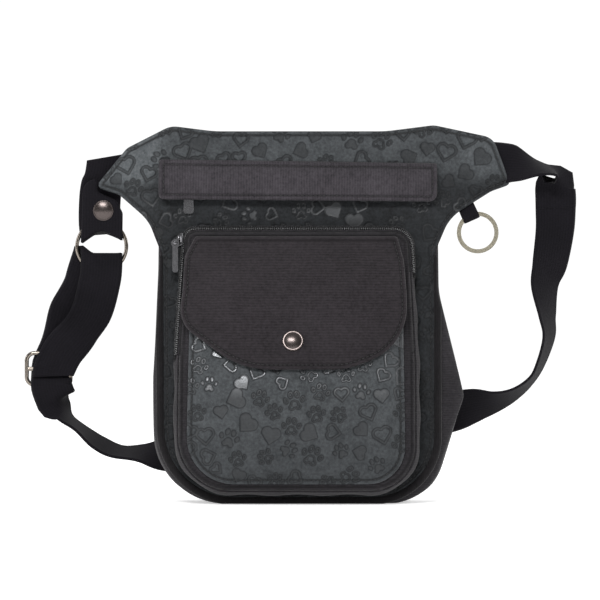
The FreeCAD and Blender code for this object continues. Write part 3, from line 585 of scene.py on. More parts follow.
def cut_sheet(corners, spacing, depth_of, slot_box=None, fields=None):
    """A sheet seen from the front, cut to an outline: depth_of(x, z, inside) gives y."""
    outline = outline_points(corners)
    low, high = outline.min(axis=0) - 0.01, outline.max(axis=0) + 0.01
    size = high - low
    work, places = unit_grid(int(size[0] / spacing) + 1, int(size[1] / spacing) + 1)
    flat = low + places * size
    inside, nearest = distance_inside(outline, flat)
    corner = np.array([[vertex.index for vertex in face.verts] for face in work.faces])
    out = ((inside[corner] > -0.25 * spacing).sum(axis=1) < 3) | (inside[corner].mean(axis=1) < 0)
    if slot_box is not None:
        middle = flat[corner].mean(axis=1)
        out |= ((slot_box[0] < middle[:, 0]) & (middle[:, 0] < slot_box[1])
                & (slot_box[2] < middle[:, 1]) & (middle[:, 1] < slot_box[3]))
    kept = np.unique(corner[~out])
    bmesh.ops.delete(work, geom=[face for face, gone in zip(work.faces, out) if gone], context="FACES")
    inside, nearest, flat = inside[kept], nearest[kept], flat[kept]
    rim = np.array([vertex.is_boundary for vertex in work.verts]) & (np.abs(inside) < 1.3 * spacing)
    flat[rim] = nearest[rim]
    inside[rim] = 0.0
    x, z = flat[:, 0], flat[:, 1]
    values = fields(x, z, inside) if fields else {}
    y = depth_of(x, z, inside) + values.pop("relief", 0.0)
    return as_mesh(work, np.stack([x, y, z], axis=1), values)


def add_flat_map(mesh):
    """A map in metres with its length along Z and its width along X."""
    layer = mesh.uv_layers.new(name="UVMap")
    corner = np.zeros(len(mesh.loops), int)
    mesh.loops.foreach_get("vertex_index", corner)
    place = np.zeros(3 * len(mesh.vertices), np.float32)
    mesh.vertices.foreach_get("co", place)
    layer.data.foreach_set("uv", place.reshape(-1, 3)[corner][:, [2, 0]].ravel())


def mapped_sheet(columns, rows, where, flip=False, join=False):
    """A grid bent to where(u, v), with a map in metres."""
    work, places = unit_grid(columns, rows)
    x, y, z, along, across = where(places[:, 0], places[:, 1])
    layer = work.loops.layers.uv.new("UVMap")
    for face in work.faces:
        for loop in face.loops:
            index = loop.vert.index
            loop[layer].uv = (along[index] * MM, across[index] * MM)
    for vertex, place in zip(work.verts, np.stack([x, y, z], axis=1) * MM):
        vertex.co = place
    if join:
        bmesh.ops.remove_doubles(work, verts=work.verts, dist=1e-5)
    if flip:
        bmesh.ops.reverse_faces(work, faces=work.faces)
    return work


def smooth_route(stations, spacing=2.0):
    """Stations joined by a smooth curve: middles and unit directions across."""
    knots = np.array([list(point) + list(across) for point, across in stations])
    ghosts = np.vstack([2 * knots[0] - knots[1], knots, 2 * knots[-1] - knots[-2]])
    dense = []
    for p0, p1, p2, p3 in zip(ghosts, ghosts[1:], ghosts[2:], ghosts[3:]):
        steps = max(2, int(np.linalg.norm(p2[:3] - p1[:3]) / spacing))
        for t in np.arange(steps) / steps:
            dense.append(0.5 * (2 * p1 + (p2 - p0) * t + (2 * p0 - 5 * p1 + 4 * p2 - p3) * t ** 2
                                + (3 * p1 - p0 - 3 * p2 + p3) * t ** 3))
    dense = np.array(dense + [knots[-1]])
    return dense[:, :3], dense[:, 3:]


def ribbon_frames(stations, spacing=2.0):
    """Middles, unit directions across and normals along a ribbon."""
    middles, sides = smooth_route(stations, spacing)
    ahead = np.gradient(middles, axis=0)
    ahead /= np.linalg.norm(ahead, axis=1)[:, None]
    sides = sides - ahead * (sides * ahead).sum(axis=1)[:, None]
    sides /= np.linalg.norm(sides, axis=1)[:, None]
    return middles, sides, np.cross(ahead, sides)


def ribbon_sheet(frames, width, thickness, across_steps=20, start_length=0.0, bend=None):
    """Webbing along ribbon frames, closed all round. bend(x, y, z) may move its points."""
    middles, sides, up = frames
    length = start_length + np.concatenate([[0], np.cumsum(np.linalg.norm(np.diff(middles, axis=0), axis=1))])
    rows = len(middles) - 1
    columns = 2 * across_steps + 2

    def where(u, v):
        row = np.round(v * rows).astype(int)
        turn = u * columns
        share = np.where(turn <= across_steps, turn / across_steps, (2 * across_steps + 1 - turn) / across_steps)
        share = np.clip(share, 0, 1)
        face = np.where((turn <= across_steps) | (turn > columns - 0.5), 1.0, -1.0)
        share = np.where(turn > columns - 0.5, 0.0, share)
        offset = (share - 0.5) * width
        side = np.abs(2 * share - 1)
        lift = face * thickness / 2 * (1.0 - 0.45 * (side > 0.99) + 0.30 * (np.abs(side - 0.9) < 0.02))
        place = middles[row] + sides[row] * offset[:, None] + up[row] * lift[:, None]
        if bend is not None:
            place = np.stack(bend(*place.T), axis=1)
        return place[:, 0], place[:, 1], place[:, 2], length[row], offset

    work = mapped_sheet(columns, rows, where, join=True)
    bmesh.ops.holes_fill(work, edges=[edge for edge in work.edges if edge.is_boundary], sides=0)
    bmesh.ops.recalc_face_normals(work, faces=work.faces)
    return work


def part_of(frames, start, stop):
    return tuple(part[start:stop] for part in frames)


def stitches(name, run, out, body, pitch=STITCH_PITCH, closed=False, radius=0.30, fill=0.74):
    """A row of sewn threads along points in space. out(points) gives the direction off the surface."""
    marks = resampled(run, pitch, closed)
    ahead = np.roll(marks, -1, axis=0) - marks if closed else np.gradient(marks, axis=0)
    ups = out(marks)
    work = bmesh.new()
    for place, step, up in zip(marks, ahead, ups):
        step = Vector(step).normalized()
        up = Vector(up)
        up = (up - step * up.dot(step)).normalized()
        turn = Matrix((step, up, step.cross(up))).transposed().to_4x4()
        middle = Vector(place) + up * radius * 0.25
        shape = Matrix.Diagonal((pitch * fill / 2, radius, radius * 1.15, 1.0))
        move = Matrix.Translation(middle * MM) @ turn @ Matrix.Scale(MM, 4) @ shape
        bmesh.ops.create_uvsphere(work, u_segments=6, v_segments=5, radius=1.0,
                                  matrix=move @ Matrix.Rotation(math.pi / 2, 4, "Y"))
    return new_piece(name, work, THREAD_LOOK, body)


def facing_front(points):
    return np.tile((0.0, -1.0, 0.0), (len(points), 1))


def facing_back(points):
    return np.tile((0.0, 1.0, 0.0), (len(points), 1))


def lifted(run, depth_of):
    """A run of x, z points placed on a surface."""
    return np.stack([run[:, 0], depth_of(run[:, 0], run[:, 1]), run[:, 1]], axis=1)


def edge_stitches(name, corners, insets, depth_of, body, keep=None, closed=True):
    """Sewn rows that follow an outline at one or more insets."""
    dense = resampled(outline_points(corners, 16), 1.0)
    for number, inset in enumerate(insets):
        run = inset_run(dense, inset)
        still = closed
        if keep is not None:
            wanted = keep(run[:, 0], run[:, 1])
            start = int(np.argmax(wanted & ~np.roll(wanted, 1)))
            run, wanted = np.roll(run, -start, axis=0), np.roll(wanted, -start)
            run = run[wanted]
            still = False
        stitches(f"{name}_{number + 1}", lifted(run, depth_of), facing_front, body, closed=still)


def box_part(work, centre, size, turn=None):
    """A block in millimetres, added to a bmesh; returns its vertices."""
    place = Matrix.Translation(Vector(centre) * MM) @ (turn or Matrix.Identity(4))
    shape = place @ Matrix.Diagonal((size[0] * MM, size[1] * MM, size[2] * MM, 1.0))
    return bmesh.ops.create_cube(work, size=1.0, matrix=shape)["verts"]


def rounded(work, width, segments=2):
    bmesh.ops.bevel(work, geom=list(work.edges), offset=width * MM, segments=segments, affect="EDGES",
                    profile=0.5, material=-1)


# ---------------------------------------------------------------- leather panels
SEAM_POINTS = outline_points(SEAM_OUTLINE)
SLIP_POINTS = outline_points(SLIP_OUTLINE)
PANEL_STAMPS = scatter(SEAM_POINTS, 1.6, -2.0, 11)
SLIP_STAMPS = scatter(SLIP_POINTS, 1.4, -2.0, 5)


def panel_fields(x, z, inside):
    press = press_field(x, z, PANEL_STAMPS)
    groove = np.exp(-((inside - 2.7) / 0.7) ** 2)
    roll = np.clip(1 - inside / 1.6, 0, 1) ** 2
    relief = press * 0.75 + groove * 0.35 + roll * 0.9
    left, right = ease((-92.0 - x) / 26.0) * 0.75, ease((x - 104.0) / 26.0) * 0.25
    # lighter towards the top as painted light from above, plus lighter wing tips (the left more) and a lighter
    # rolled edge
    wear = (0.48 + left + right) * ease((z - 222.0) / 22.0) + left * 0.5 * ease((z - 196.0) / 30.0) + roll * 0.35
    core = np.clip((press - 0.7) / 0.3, 0, 1)
    # painted highlight: the stamps in a band just under the strip are made glossy and lighter
    lit = 0.40 * np.exp(-((z - 209.0) / 7.0) ** 2)
    return {"relief": relief, "press": np.clip(press + 0.5 * groove, 0, 1), "gloss": core * lit, "wear": wear}


def make_front_panel():
    slot_box = (-89.0, 87.0, ZIP_Z - ZIP_HALF_SLOT, ZIP_Z + ZIP_HALF_SLOT)
    work = cut_sheet(SEAM_OUTLINE, 0.80, lambda x, z, inside: panel_y(x, z), slot_box, panel_fields)
    piece = new_piece("front_panel_leather", work, LEATHER_LOOK, "pouch", ["front_panel"])
    thicken(piece, LEATHER, rim_only=True)

    def keep_top(x, z):
        return z > 196.0

    def keep_low(x, z):
        return z < 192.0

    def surface(x, z):
        return panel_y(x, z) + 0.15

    edge_stitches("panel_stitch_wing", SEAM_OUTLINE, [2.6], surface, "pouch", keep_top)
    edge_stitches("panel_stitch_body", SEAM_OUTLINE, [3.0], surface, "pouch", keep_low)


def slip_fields(x, z, inside):
    press = press_field(x, z, SLIP_STAMPS)
    from_seam = np.where(z > 149.5, 9.0, inside)
    groove = np.exp(-((from_seam - 3.0) / 0.7) ** 2)
    roll = np.clip(1 - from_seam / 1.3, 0, 1) ** 2
    core = np.clip((press - 0.7) / 0.3, 0, 1)
    # painted highlight: the stamps in the upper part of the slip pocket, under the flap, are made glossy and
    # lighter, fading downwards and to the right
    lit = 0.10 + 0.85 * ease((z - 72.0) / 22.0) * (0.5 + 0.5 * ease((60.0 - x) / 40.0))
    # lighter towards the top as painted light from above, plus a lighter rolled edge
    wear = 0.36 + 0.16 * ease((z - 30.0) / 50.0) + roll * 0.3
    return {"relief": press * 0.75 + groove * 0.3 + roll * 0.7, "press": np.clip(press + 0.5 * groove, 0, 1),
            "gloss": core * lit, "wear": wear}


def slip_inside(x, z):
    """Distance from the sewn edge: sides and foot only, since the mouth is open."""
    tall = [(-78.0, 190.0, 0), (73.0, 190.0, 0), (74.0, 15.0, 26), (-80.0, 15.0, 33)]
    return distance_inside(outline_points(tall), np.stack([x, z], axis=1))[0]


def make_slip_pocket():
    work = cut_sheet(SLIP_OUTLINE, 0.56, lambda x, z, inside: slip_y(x, z, slip_inside(x, z)), None, slip_fields)
    piece = new_piece(
        "slip_pocket_leather", work, LEATHER_LOOK, "pouch", ["slip_pocket_panel"])
    thicken(piece, LEATHER * 0.8, rim_only=True)

    def surface(x, z):
        return slip_y(x, z, slip_inside(x, z)) + 0.15

    edge_stitches(
        "slip_stitch", SLIP_OUTLINE, [3.0], surface, "pouch", lambda x, z: z < 148.0)


# ---------------------------------------------------------------- body canvas
def lower_run(corners, top, spacing):
    """The part of an outline below a height, from the right side round the foot to the left side."""
    dense = resampled(outline_points(corners, 18), 0.5)
    wanted = dense[:, 1] < top
    start = int(np.argmax(wanted & ~np.roll(wanted, 1)))
    dense, wanted = np.roll(dense, -start, axis=0), np.roll(wanted, -start)
    return resampled(dense[wanted], spacing, closed=False)


def make_main_gusset():
    """Canvas wall from the front seam to the back, fuller in the middle, with folds at the lower corners."""
    body_run = lower_run(BODY_OUTLINE, GUSSET_TOP, 2.0)
    _, seam_run = distance_inside(outline_points(SEAM_OUTLINE, 18), body_run)
    rows, columns = len(body_run) - 1, 26

    def where(u, v):
        row = np.round(v * rows).astype(int)
        outer, seam = body_run[row], seam_run[row]
        front = panel_y(seam[:, 0], seam[:, 1]) + 1.0
        swell = np.sin(math.pi * np.clip(u, 0, 1)) ** 0.6
        fold = 1.1 * np.sin(u * 9.0 + row * 0.11) * np.sin(math.pi * u) * ease((150.0 - outer[:, 1]) / 100.0)
        blend = ease(u / 0.22)
        flat = seam + (outer - seam) * blend[:, None]
        away = outer - np.array([0.0, 100.0])
        away /= np.linalg.norm(away, axis=1)[:, None]
        keep_floor = ease((outer[:, 1] - 1.0) / 14.0)
        flat = flat + away * ((0.8 * swell + fold) * keep_floor)[:, None] * 0.8
        y = front + (BACK_Y - 1.2 - front) * u
        return flat[:, 0], y, np.maximum(flat[:, 1], 0.0), row * 2.0, u * 44

    work = mapped_sheet(columns, rows, where)
    bmesh.ops.recalc_face_normals(work, faces=work.faces)
    piece = new_piece("main_gusset_canvas", work, BODY_LOOK, "pouch", ["main_gusset"])
    thicken(piece, 1.2, 0.0)


def make_front_binding():
    """Rounded binding along the front seam of the body."""
    seam_run = lower_run(SEAM_OUTLINE, 176.0, 2.0)
    _, outer_run = distance_inside(outline_points(BODY_OUTLINE, 18), seam_run)
    rows, columns = len(seam_run) - 1, 10

    def where(u, v):
        row = np.round(v * rows).astype(int)
        seam, outer = seam_run[row], outer_run[row]
        gap = np.linalg.norm(outer - seam, axis=1)
        away = (outer - seam) / np.maximum(gap, 1e-6)[:, None]
        reach = np.clip(gap, 1.4, 4.6)
        angle = math.pi * u
        across = -0.6 + (reach + 0.8) * (1 - np.cos(angle)) / 2
        flat = seam + away * across[:, None]
        puff = 0.22 * np.sin(row * 1.9)
        y = panel_y(seam[:, 0], seam[:, 1]) + 1.4 - (2.2 + puff) * np.sin(angle)
        return flat[:, 0], y, np.maximum(flat[:, 1], 0.2), row * 2.0, across

    work = mapped_sheet(columns, rows, where)
    bmesh.ops.recalc_face_normals(work, faces=work.faces)
    piece = new_piece("front_seam_binding", work, BINDING_LOOK, "pouch", ["front_piping"])
    thicken(piece, 0.5, 0.0)


def make_back_panel():
    """Canvas back with its row of stitches; the wings and the body are two sheets."""
    for name, corners in (("back_wings_canvas", SEAM_OUTLINE), ("back_body_canvas", BODY_OUTLINE)):
        raise_y = 0.0 if name == "back_wings_canvas" else 0.25

        def rear(x, z, inside):
            return BACK_Y - 0.7 * np.clip(1 - inside / 1.8, 0, 1) ** 2 - raise_y + 0.0 * x

        work = cut_sheet(corners, 2.4, rear)
        work.flip_normals()
        piece = new_piece(name, work, BODY_LOOK, "pouch", ["back_panel"] if raise_y == 0 else ())
        thicken(piece, 1.2)
    dense = resampled(outline_points(SEAM_OUTLINE, 16), 1.0)
    run = inset_run(dense, 4.0)
    stitches("back_stitch", lifted(run, lambda x, z: 0 * x + BACK_Y), facing_back, "pouch", closed=True)


def make_wing_edge():
    """Folded leather edge that closes the wings and the top seam."""
    dense = resampled(outline_points(SEAM_OUTLINE, 14), 2.0)
    rows, columns = len(dense), 8
    loop = np.vstack([dense, dense[:1]])
    hull = inset_run(dense, 0.5)
    hull = np.vstack([hull, hull[:1]])

    def where(u, v):
        row = np.round(v * rows).astype(int)
        flat = hull[row] + (loop[row] - hull[row]) * np.sin(math.pi * u)[:, None]
        front = panel_y(loop[row][:, 0], loop[row][:, 1]) + 1.2
        y = front + (BACK_Y - 1.0 - front) * u
        return flat[:, 0], y, flat[:, 1], row * 2.0, u * 6

    work = mapped_sheet(columns, rows, where, join=True)
    low = [face for face in work.faces if face.calc_center_median().z < 178.0 * MM]
    bmesh.ops.delete(work, geom=low, context="FACES")
    bmesh.ops.recalc_face_normals(work, faces=work.faces)
    layer = work.verts.layers.float.new("wear")
    for vertex in work.verts:
        vertex[layer] = 0.35
    piece = new_piece("wing_edge_leather", work, LEATHER_LOOK, "pouch",
                      ["wing_padding_left", "wing_padding_right", "top_stiffener"])
    thicken(piece, 0.8, 0.0)


def seam_groove_and_shade_fields(depth):
    """A pressed line where a canvas edge is sewn down, darker as painted shade in the groove."""
    def fields(x, z, inside):
        line = np.exp(-((inside - depth) / 0.75) ** 2)
        return {"relief": 0.45 * line, "seam": line}
    return fields


def make_cover_strip():
    def depth(x, z, inside):
        return strip_y(x, z) + 0.8 * np.clip(1 - inside / 1.6, 0, 1) ** 2

    work = cut_sheet(STRIP_OUTLINE, 1.1, depth, None, seam_groove_and_shade_fields(3.6))
    piece = new_piece("cover_strip_canvas", work, STRIP_LOOK, "strip", ["cover_strip"])
    thicken(piece, CANVAS)
    edge_stitches("strip_stitch", STRIP_OUTLINE, [3.6], lambda x, z: strip_y(x, z) + 0.35, "strip")


# ---------------------------------------------------------------- zips
def tooth_row(name, places, outs, size, body, replaced):
    """Coil turns along a path: each a small rounded block square to the path."""
    work = bmesh.new()
    ahead = np.gradient(places, axis=0)
    for place, step, out in zip(places, ahead, outs):
        step = Vector(step).normalized()
        out = Vector(out)
        out = (out - step * out.dot(step)).normalized()
        turn = Matrix((step, out.cross(step), out)).transposed().to_4x4()
        box_part(work, place, size, turn)
    rounded(work, min(size) * 0.3, 1)
    return new_piece(name, work, COIL_LOOK, body, replaced)


def make_main_zip():
    steps = np.arange(-86.5, 84.5, TOOTH_PITCH)
    for number, side in enumerate((1, -1)):
        places = np.stack([steps, 0 * steps + 16.9, 0 * steps + ZIP_Z + side * 4.0], axis=1)
        outs = np.tile((0.0, -1.0, 0.0), (len(steps), 1))
        tooth_row(f"main_zip_coil_{number + 1}", places, outs, (0.85, 2.0, 1.7), "pouch",
                  ["main_zip_coils"] if number == 0 else ())
    work = bmesh.new()
    x = (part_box("main_zip_slider")[0][0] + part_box("main_zip_slider")[1][0]) / 2 / MM
    box_part(work, (x, 15.3, ZIP_Z), (12.0, 1.3, 10.0))
    box_part(work, (x, 19.5, ZIP_Z), (12.0, 1.0, 10.0))
    box_part(work, (x - 3.5, 17.4, ZIP_Z), (3.6, 3.2, 3.0))
    box_part(work, (x, 12.9, ZIP_Z), (2.4, 3.6, 2.4))
    box_part(work, (x, 12.2, ZIP_Z), (4.2, 0.7, 4.2))
    rounded(work, 0.35)
    new_piece("main_slider_body", work, ENAMEL_LOOK, "main_slider", ["main_zip_slider"])


def zip_path(spacing):
    """The pocket zip from the left side over the top to the right side: x, z points."""
    dense = resampled(outline_points(POCKET_OUTLINE, 16), 0.3)
    start = int(np.argmin(np.hypot(dense[:, 0] + 88.3, dense[:, 1] - 106.0)))
    dense = np.roll(dense, -start, axis=0)
    end = int(np.argmin(np.hypot(dense[:, 0] - 81.4, dense[:, 1] - 164.0)))
    return resampled(dense[:end], spacing, closed=False)


def side_out(run):
    """Outward direction in x, z along a clockwise run."""
    ahead = np.gradient(run, axis=0)
    ahead /= np.linalg.norm(ahead, axis=1)[:, None]
    return np.stack([-ahead[:, 1], ahead[:, 0]], axis=1)


ZIP_INSET = 1.6


def make_pocket_zip():
    run = zip_path(TOOTH_PITCH)
    out = side_out(run)
    flat = run - out * (ZIP_INSET - 1.3)
    places = np.stack([flat[:, 0], pocket_y(flat[:, 0], flat[:, 1]) + 3.4, flat[:, 1]], axis=1)
    outs = np.stack([out[:, 0], np.full(len(out), -0.75), out[:, 1]], axis=1)
    tooth_row("pocket_zip_teeth", places, outs, (0.8, 3.4, 1.5), "pouch", ["pocket_zip_coil"])

    edge = zip_path(2.0)
    away = side_out(edge)
    rows = len(edge) - 1

    def where(u, v):
        row = np.round(v * rows).astype(int)
        across = (u - 0.5) * 11.0
        flat = edge[row] - away[row] * (ZIP_INSET - 0.6)
        flat = flat + away[row] * (across * 0.42)[:, None]
        y = pocket_y(flat[:, 0], flat[:, 1]) + 4.2 + across * 0.45
        return flat[:, 0], y, flat[:, 1], row * 2.0, across

    work = mapped_sheet(8, rows, where)
    bmesh.ops.recalc_face_normals(work, faces=work.faces)
    thicken(new_piece("pocket_zip_tape", work, TAPE_LOOK, "pouch"), 0.5, 0.0)


def make_pocket_slider():
    """Slider over the coil at the top of the left run, with its lug and pin."""
    x, z = -85.2, 187.0
    y = float(pocket_y(np.array([x]), np.array([z]))[0])
    turn = Matrix.Rotation(math.radians(-18.5), 4, "X") @ Matrix.Rotation(math.radians(28), 4, "Z")
    work = bmesh.new()
    box_part(work, (x - 0.6, y + 4.0, z), (2.2, 6.8, 9.6), turn)
    box_part(work, (x - 1.6, y + 2.6, z + 1.6), (2.4, 4.2, 4.0), turn)
    box_part(work, (-88.6, -3.4, 185.6), (4.2, 2.2, 4.6))
    box_part(work, (-89.0, -5.6, 185.0), (2.2, 3.6, 2.2))
    rounded(work, 0.45)
    new_piece("pocket_slider_body", work, ENAMEL_LOOK, "pocket_slider", ["pocket_zip_slider"])


# ---------------------------------------------------------------- front pocket
def pocket_ring(inset, spacing=2.0):
    dense = resampled(outline_points(POCKET_OUTLINE, 16), spacing)
    run = inset_run(dense, inset)
    return np.vstack([run, run[:1]])


def make_pocket_gusset():
    """Bellows wall that slants out from the pocket front to the body."""
    outer = pocket_ring(0.0)
    inner = pocket_ring(2.2)
    rows, columns = len(outer) - 1, 24

    def where(u, v):
        row = np.round(v * rows).astype(int)
        spread = ease(u / 0.55)
        flat = inner[row] + (outer[row] - inner[row]) * spread[:, None]
        near = pocket_y(flat[:, 0], flat[:, 1]) + 2.2
        far = panel_y(flat[:, 0], flat[:, 1]) + 0.6
        y = near + (far - near) * u
        pleat = 1.0 * np.sin(math.pi * u * 2.0) * ease((170 - flat[:, 1]) / 60.0)
        away = outer[row] - inner[row]
        away = away / np.maximum(np.linalg.norm(away, axis=1), 1e-6)[:, None]
        wave = 0.5 * np.sin(row * 0.35) * np.sin(math.pi * u)
        flat = flat + away * (pleat + wave)[:, None]
        return flat[:, 0], y, flat[:, 1], row * 2.0, u * 20

    work = mapped_sheet(columns, rows, where, join=True)
    bmesh.ops.recalc_face_normals(work, faces=work.faces)
    thicken(new_piece("pocket_gusset_canvas", work, BODY_LOOK, "pouch", ["pocket_gusset"]), 1.0, 0.0)


def make_pocket_front():
    """Canvas front of the pocket; its edge rolls over into the gusset."""
    def depth(x, z, inside):
        return pocket_y(x, z) + 2.4 * (1 - np.sqrt(1 - np.clip(1 - inside / 4.0, 0, 1) ** 2))

    corners = [(x, z, 0) for x, z in inset_run(resampled(outline_points(POCKET_OUTLINE, 16), 2.0), 2.8)]
    work = cut_sheet(corners, 1.3, depth, None, seam_groove_and_shade_fields(2.6))
    thicken(new_piece("pocket_front_canvas", work, BODY_LOOK, "pouch", ["pocket_front_wall"]), CANVAS)


def make_flap():
    def depth(x, z, inside):
        return flap_y(x, z) + 1.2 * np.clip(1 - inside / 2.0, 0, 1) ** 2

    work = cut_sheet(FLAP_OUTLINE, 1.0, depth, None, seam_groove_and_shade_fields(3.2))
    thicken(new_piece("flap_canvas", work, FLAP_LOOK, "flap", ["pocket_flap"]), CANVAS)
    edge_stitches("flap_stitch", FLAP_OUTLINE, [3.2], lambda x, z: flap_y(x, z) + 0.4, "flap",
                  lambda x, z: z < 186.0)


# ---------------------------------------------------------------- belt
def half_turn(z_turn, direction, start_y, end_y, steps=10):
    """Webbing bent round the ring: middles of a half circle from one layer to the other."""
    angles = np.linspace(0, math.pi, steps)
    middle = (start_y + end_y) / 2
    radius = (start_y - end_y) / 2
    return [((RING_AT[0], middle + radius * math.cos(a), z_turn + direction * abs(radius) * math.sin(a)),
             (-1.0, 0.0, 0.0)) for a in angles]


def ring_bend(x, y, z):
    """Webbing that lies on the ring: the upper fold arches, the left end of the lower fold rises."""
    across = np.clip((x - RING_AT[0]) / 15.0, -1.1, 1.1)
    near = np.abs(x - RING_AT[0]) < 24.0
    arch = 5.6 * (1 - np.abs(across) ** 1.3) - 2.4 * ease((-0.2 - across) / 0.8)
    above = arch * ease((206.0 - z) / 14.0) * (z > RING_AT[2])
    below = 5.5 * ease((-0.35 - across) / 0.65) * ease((z - 164.0) / 12.0) * (z <= RING_AT[2])
    return x, y, z + (above + below) * near


def rear_layer_bend(x, y, z):
    """The rear layer leaves the ring to the left of the front layer."""
    aside = 8.0 * ease((z - 112.0) / 34.0) * (1 - 0.35 * ease((z - 164.0) / 12.0)) * ease((y - 22.9) / 2.0)
    x, y, z = ring_bend(x, y, z)
    return x - aside * (x < -100.0), y, z


def loop_bend(x, y, z):
    """The rear layer of the loop is cut on the slant at its top."""
    x, y, z = ring_bend(x, y, z)
    return x, y, z + (x + 139.4) * 0.31 * ease((z - 230.0) / 14.0)


def front_layer_bend(x, y, z):
    """The crease that runs down from the ring and the rolled left edge."""
    x, y, z = ring_bend(x, y, z)
    rel = np.stack([x + 148.5, z - 181.0], axis=1)
    line = np.array([12.0, -20.5])
    share = np.clip(rel @ line / (line @ line), 0, 1)
    gap = np.hypot(*(rel - share[:, None] * line).T)
    crease = 1.1 * np.exp(-(gap / 1.6) ** 2) * (1 - share)
    return x, y + crease, z


def make_belt():
    stub = [
        ((121.0, 20.1, 243.0), (0, 0, 1)), ((138.0, 20.4, 243.4), (0, 0.04, 1)),
        ((149.5, 21.4, 243.2), (0, 0.25, 0.97))]
    turn = half_turn(BELT_TURN_Z, 1, REAR_MID_Y, TAIL_MID_Y)
    rear = [((RING_AT[0] - 1.5, REAR_MID_Y + 0.5, BELT_TURN_Z - 6.0), (-1.0, 0.0, 0.0))]
    front = [((RING_AT[0], TAIL_MID_Y, BELT_TURN_Z - 6.0), (-1.0, 0.0, 0.0))]
    frames = ribbon_frames(stub + BELT_ROUTE + rear + turn + front + BELT_RETURN)
    middles = frames[0]
    split = int(np.argmin(np.linalg.norm(middles - np.array(BELT_ROUTE[BELT_SPLIT][0]), axis=1)))
    fold = int(np.argmin(np.linalg.norm(middles - np.array(turn[len(turn) // 2][0]), axis=1)))
    piece = new_piece(
        "belt_wing_end", ribbon_sheet(part_of(frames, 0, split + 1), WEB_W, WEB_T), WEB_LOOK,
        None, ["belt_end_right"])
    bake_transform(piece)
    rear_layer = ribbon_sheet(part_of(frames, split, fold + 1), WEB_W, WEB_T, bend=rear_layer_bend)
    new_piece("belt_webbing", rear_layer, WEB_LOOK,
              "belt", ["belt_strap"])
    new_piece("belt_return_webbing", ribbon_sheet(part_of(frames, fold, None), WEB_W, WEB_T, bend=front_layer_bend),
              WEB_LOOK, "belt")


def make_loop():
    """The webbing loop of the left wing: rear layer, fold round the ring and the snapped front end."""
    top = [((-139.0, REAR_MID_Y, 247.6), (-1.0, 0, 0)), ((-139.8, REAR_MID_Y, 242.0), (-1.0, 0, 0)),
           ((-141.0, REAR_MID_Y, 235.0), (-1.0, 0, 0)), ((-144.0, REAR_MID_Y, 222.0), (-1.0, 0, 0)),
           ((-144.8, REAR_MID_Y, 203.0), (-1.0, 0, 0)), ((-143.6, REAR_MID_Y, 195.0), (-1.0, 0, 0))]
    turn = half_turn(LOOP_TURN_Z, -1, REAR_MID_Y, TAIL_MID_Y)
    lip = [((RING_AT[0], TAIL_MID_Y, 192.6), (-1.0, 0, 0))]
    frames = ribbon_frames(top + turn + lip, 1.2)
    piece = new_piece("loop_webbing", ribbon_sheet(frames, WEB_W, WEB_T, bend=loop_bend), WEB_LOOK, None,
                      ["loop_back_layer", "loop_anchor"])
    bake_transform(piece)

    def depth(x, z, inside):
        belly = 0.7 * np.sin(np.clip(z - 190.0, 0, 40) * 0.078)
        round_back = 3.5 - np.sqrt(3.5 ** 2 - np.clip(LOOP_TURN_Z - z, 0, 3.2) ** 2)
        rim = 0.5 * np.clip(1 - inside / 1.4, 0, 1) ** 2 * (z > 192.0)
        return TAIL_MID_Y - 1.0 - belly + round_back + rim

    work = cut_sheet(LOOP_END_OUTLINE, 0.9, depth)
    places = np.zeros(3 * len(work.vertices), np.float32)
    work.vertices.foreach_get("co", places)
    x, y, z = places.reshape(-1, 3).T / MM
    work.vertices.foreach_set("co", (np.stack(ring_bend(x, y, z), axis=1) * MM).astype(np.float32).ravel())
    add_flat_map(work)
    piece = new_piece("loop_end_webbing", work, WEB_LOOK, None, ["loop_tail"])
    thicken(piece, WEB_T * 0.8)
    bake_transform(piece)


def make_adjuster():
    """Three bar slider of round wire, pressed flat."""
    low, high = (-199.5, 81.5), (-164.6, 107.5)
    corners = [(low[0], high[1], 7), (high[0], high[1], 5), (high[0], low[1], 5), (low[0], low[1], 7)]
    path = inset_run(resampled(outline_points(corners), 1.0), 1.6)
    rows = len(path)
    ahead = np.roll(path, -1, axis=0) - np.roll(path, 1, axis=0)
    ahead /= np.linalg.norm(ahead, axis=1)[:, None]

    def rim(u, v):
        row = np.round(v * rows).astype(int) % rows
        out = np.stack([-ahead[row][:, 1], ahead[row][:, 0]], axis=1)
        flat = path[row] + out * (1.55 * np.cos(2 * math.pi * u))[:, None]
        return flat[:, 0], 34.0 + 1.15 * np.sin(2 * math.pi * u), flat[:, 1], row * 1.0, u

    def bar(u, v):
        return (low[0] + 1.5 + (high[0] - low[0] - 3.0) * v, 34.0 + 1.1 * np.sin(2 * math.pi * u),
                94.5 + 1.6 * np.cos(2 * math.pi * u), v, u)

    for name, shape, count in (("adjuster_frame", rim, rows), ("adjuster_bar", bar, 12)):
        work = mapped_sheet(14, count, shape, join=True)
        bmesh.ops.recalc_face_normals(work, faces=work.faces)
        new_piece(name, work, RING_LOOK, "belt", ["belt_adjuster"] if name == "adjuster_frame" else ())


def make_key_tab():
    """Folded tape: up between the panels, round the ring and back."""
    lean = math.radians(24.0)
    down = np.array([math.sin(lean), 0, -math.cos(lean)])
    across = (math.cos(lean), 0, math.sin(lean))
    tunnel = np.array([128.0, 20.1, 193.0]) - down * 13.5
    radius = 3.6
    angles = np.linspace(-0.62 * math.pi, 0.62 * math.pi, 15)
    bend = [tunnel + down * radius * math.cos(a) + np.array([0, -1.0, 0]) * radius * math.sin(a) for a in angles]
    rise = [tunnel - down * 7.5 + np.array([0, side * 0.9, 0]) for side in (1, -1)]
    far = [tunnel - down * 15.0 + np.array([0, side * 0.9, 0]) for side in (1, -1)]
    points = [far[0], rise[0]] + bend + [rise[1], far[1]]
    work = ribbon_sheet(ribbon_frames([(tuple(point), across) for point in points], 0.9), 12.0, 1.0, 8)
    new_piece("key_tab_tape", work, WEB_LOOK, "pouch", ["key_ring_tab"])


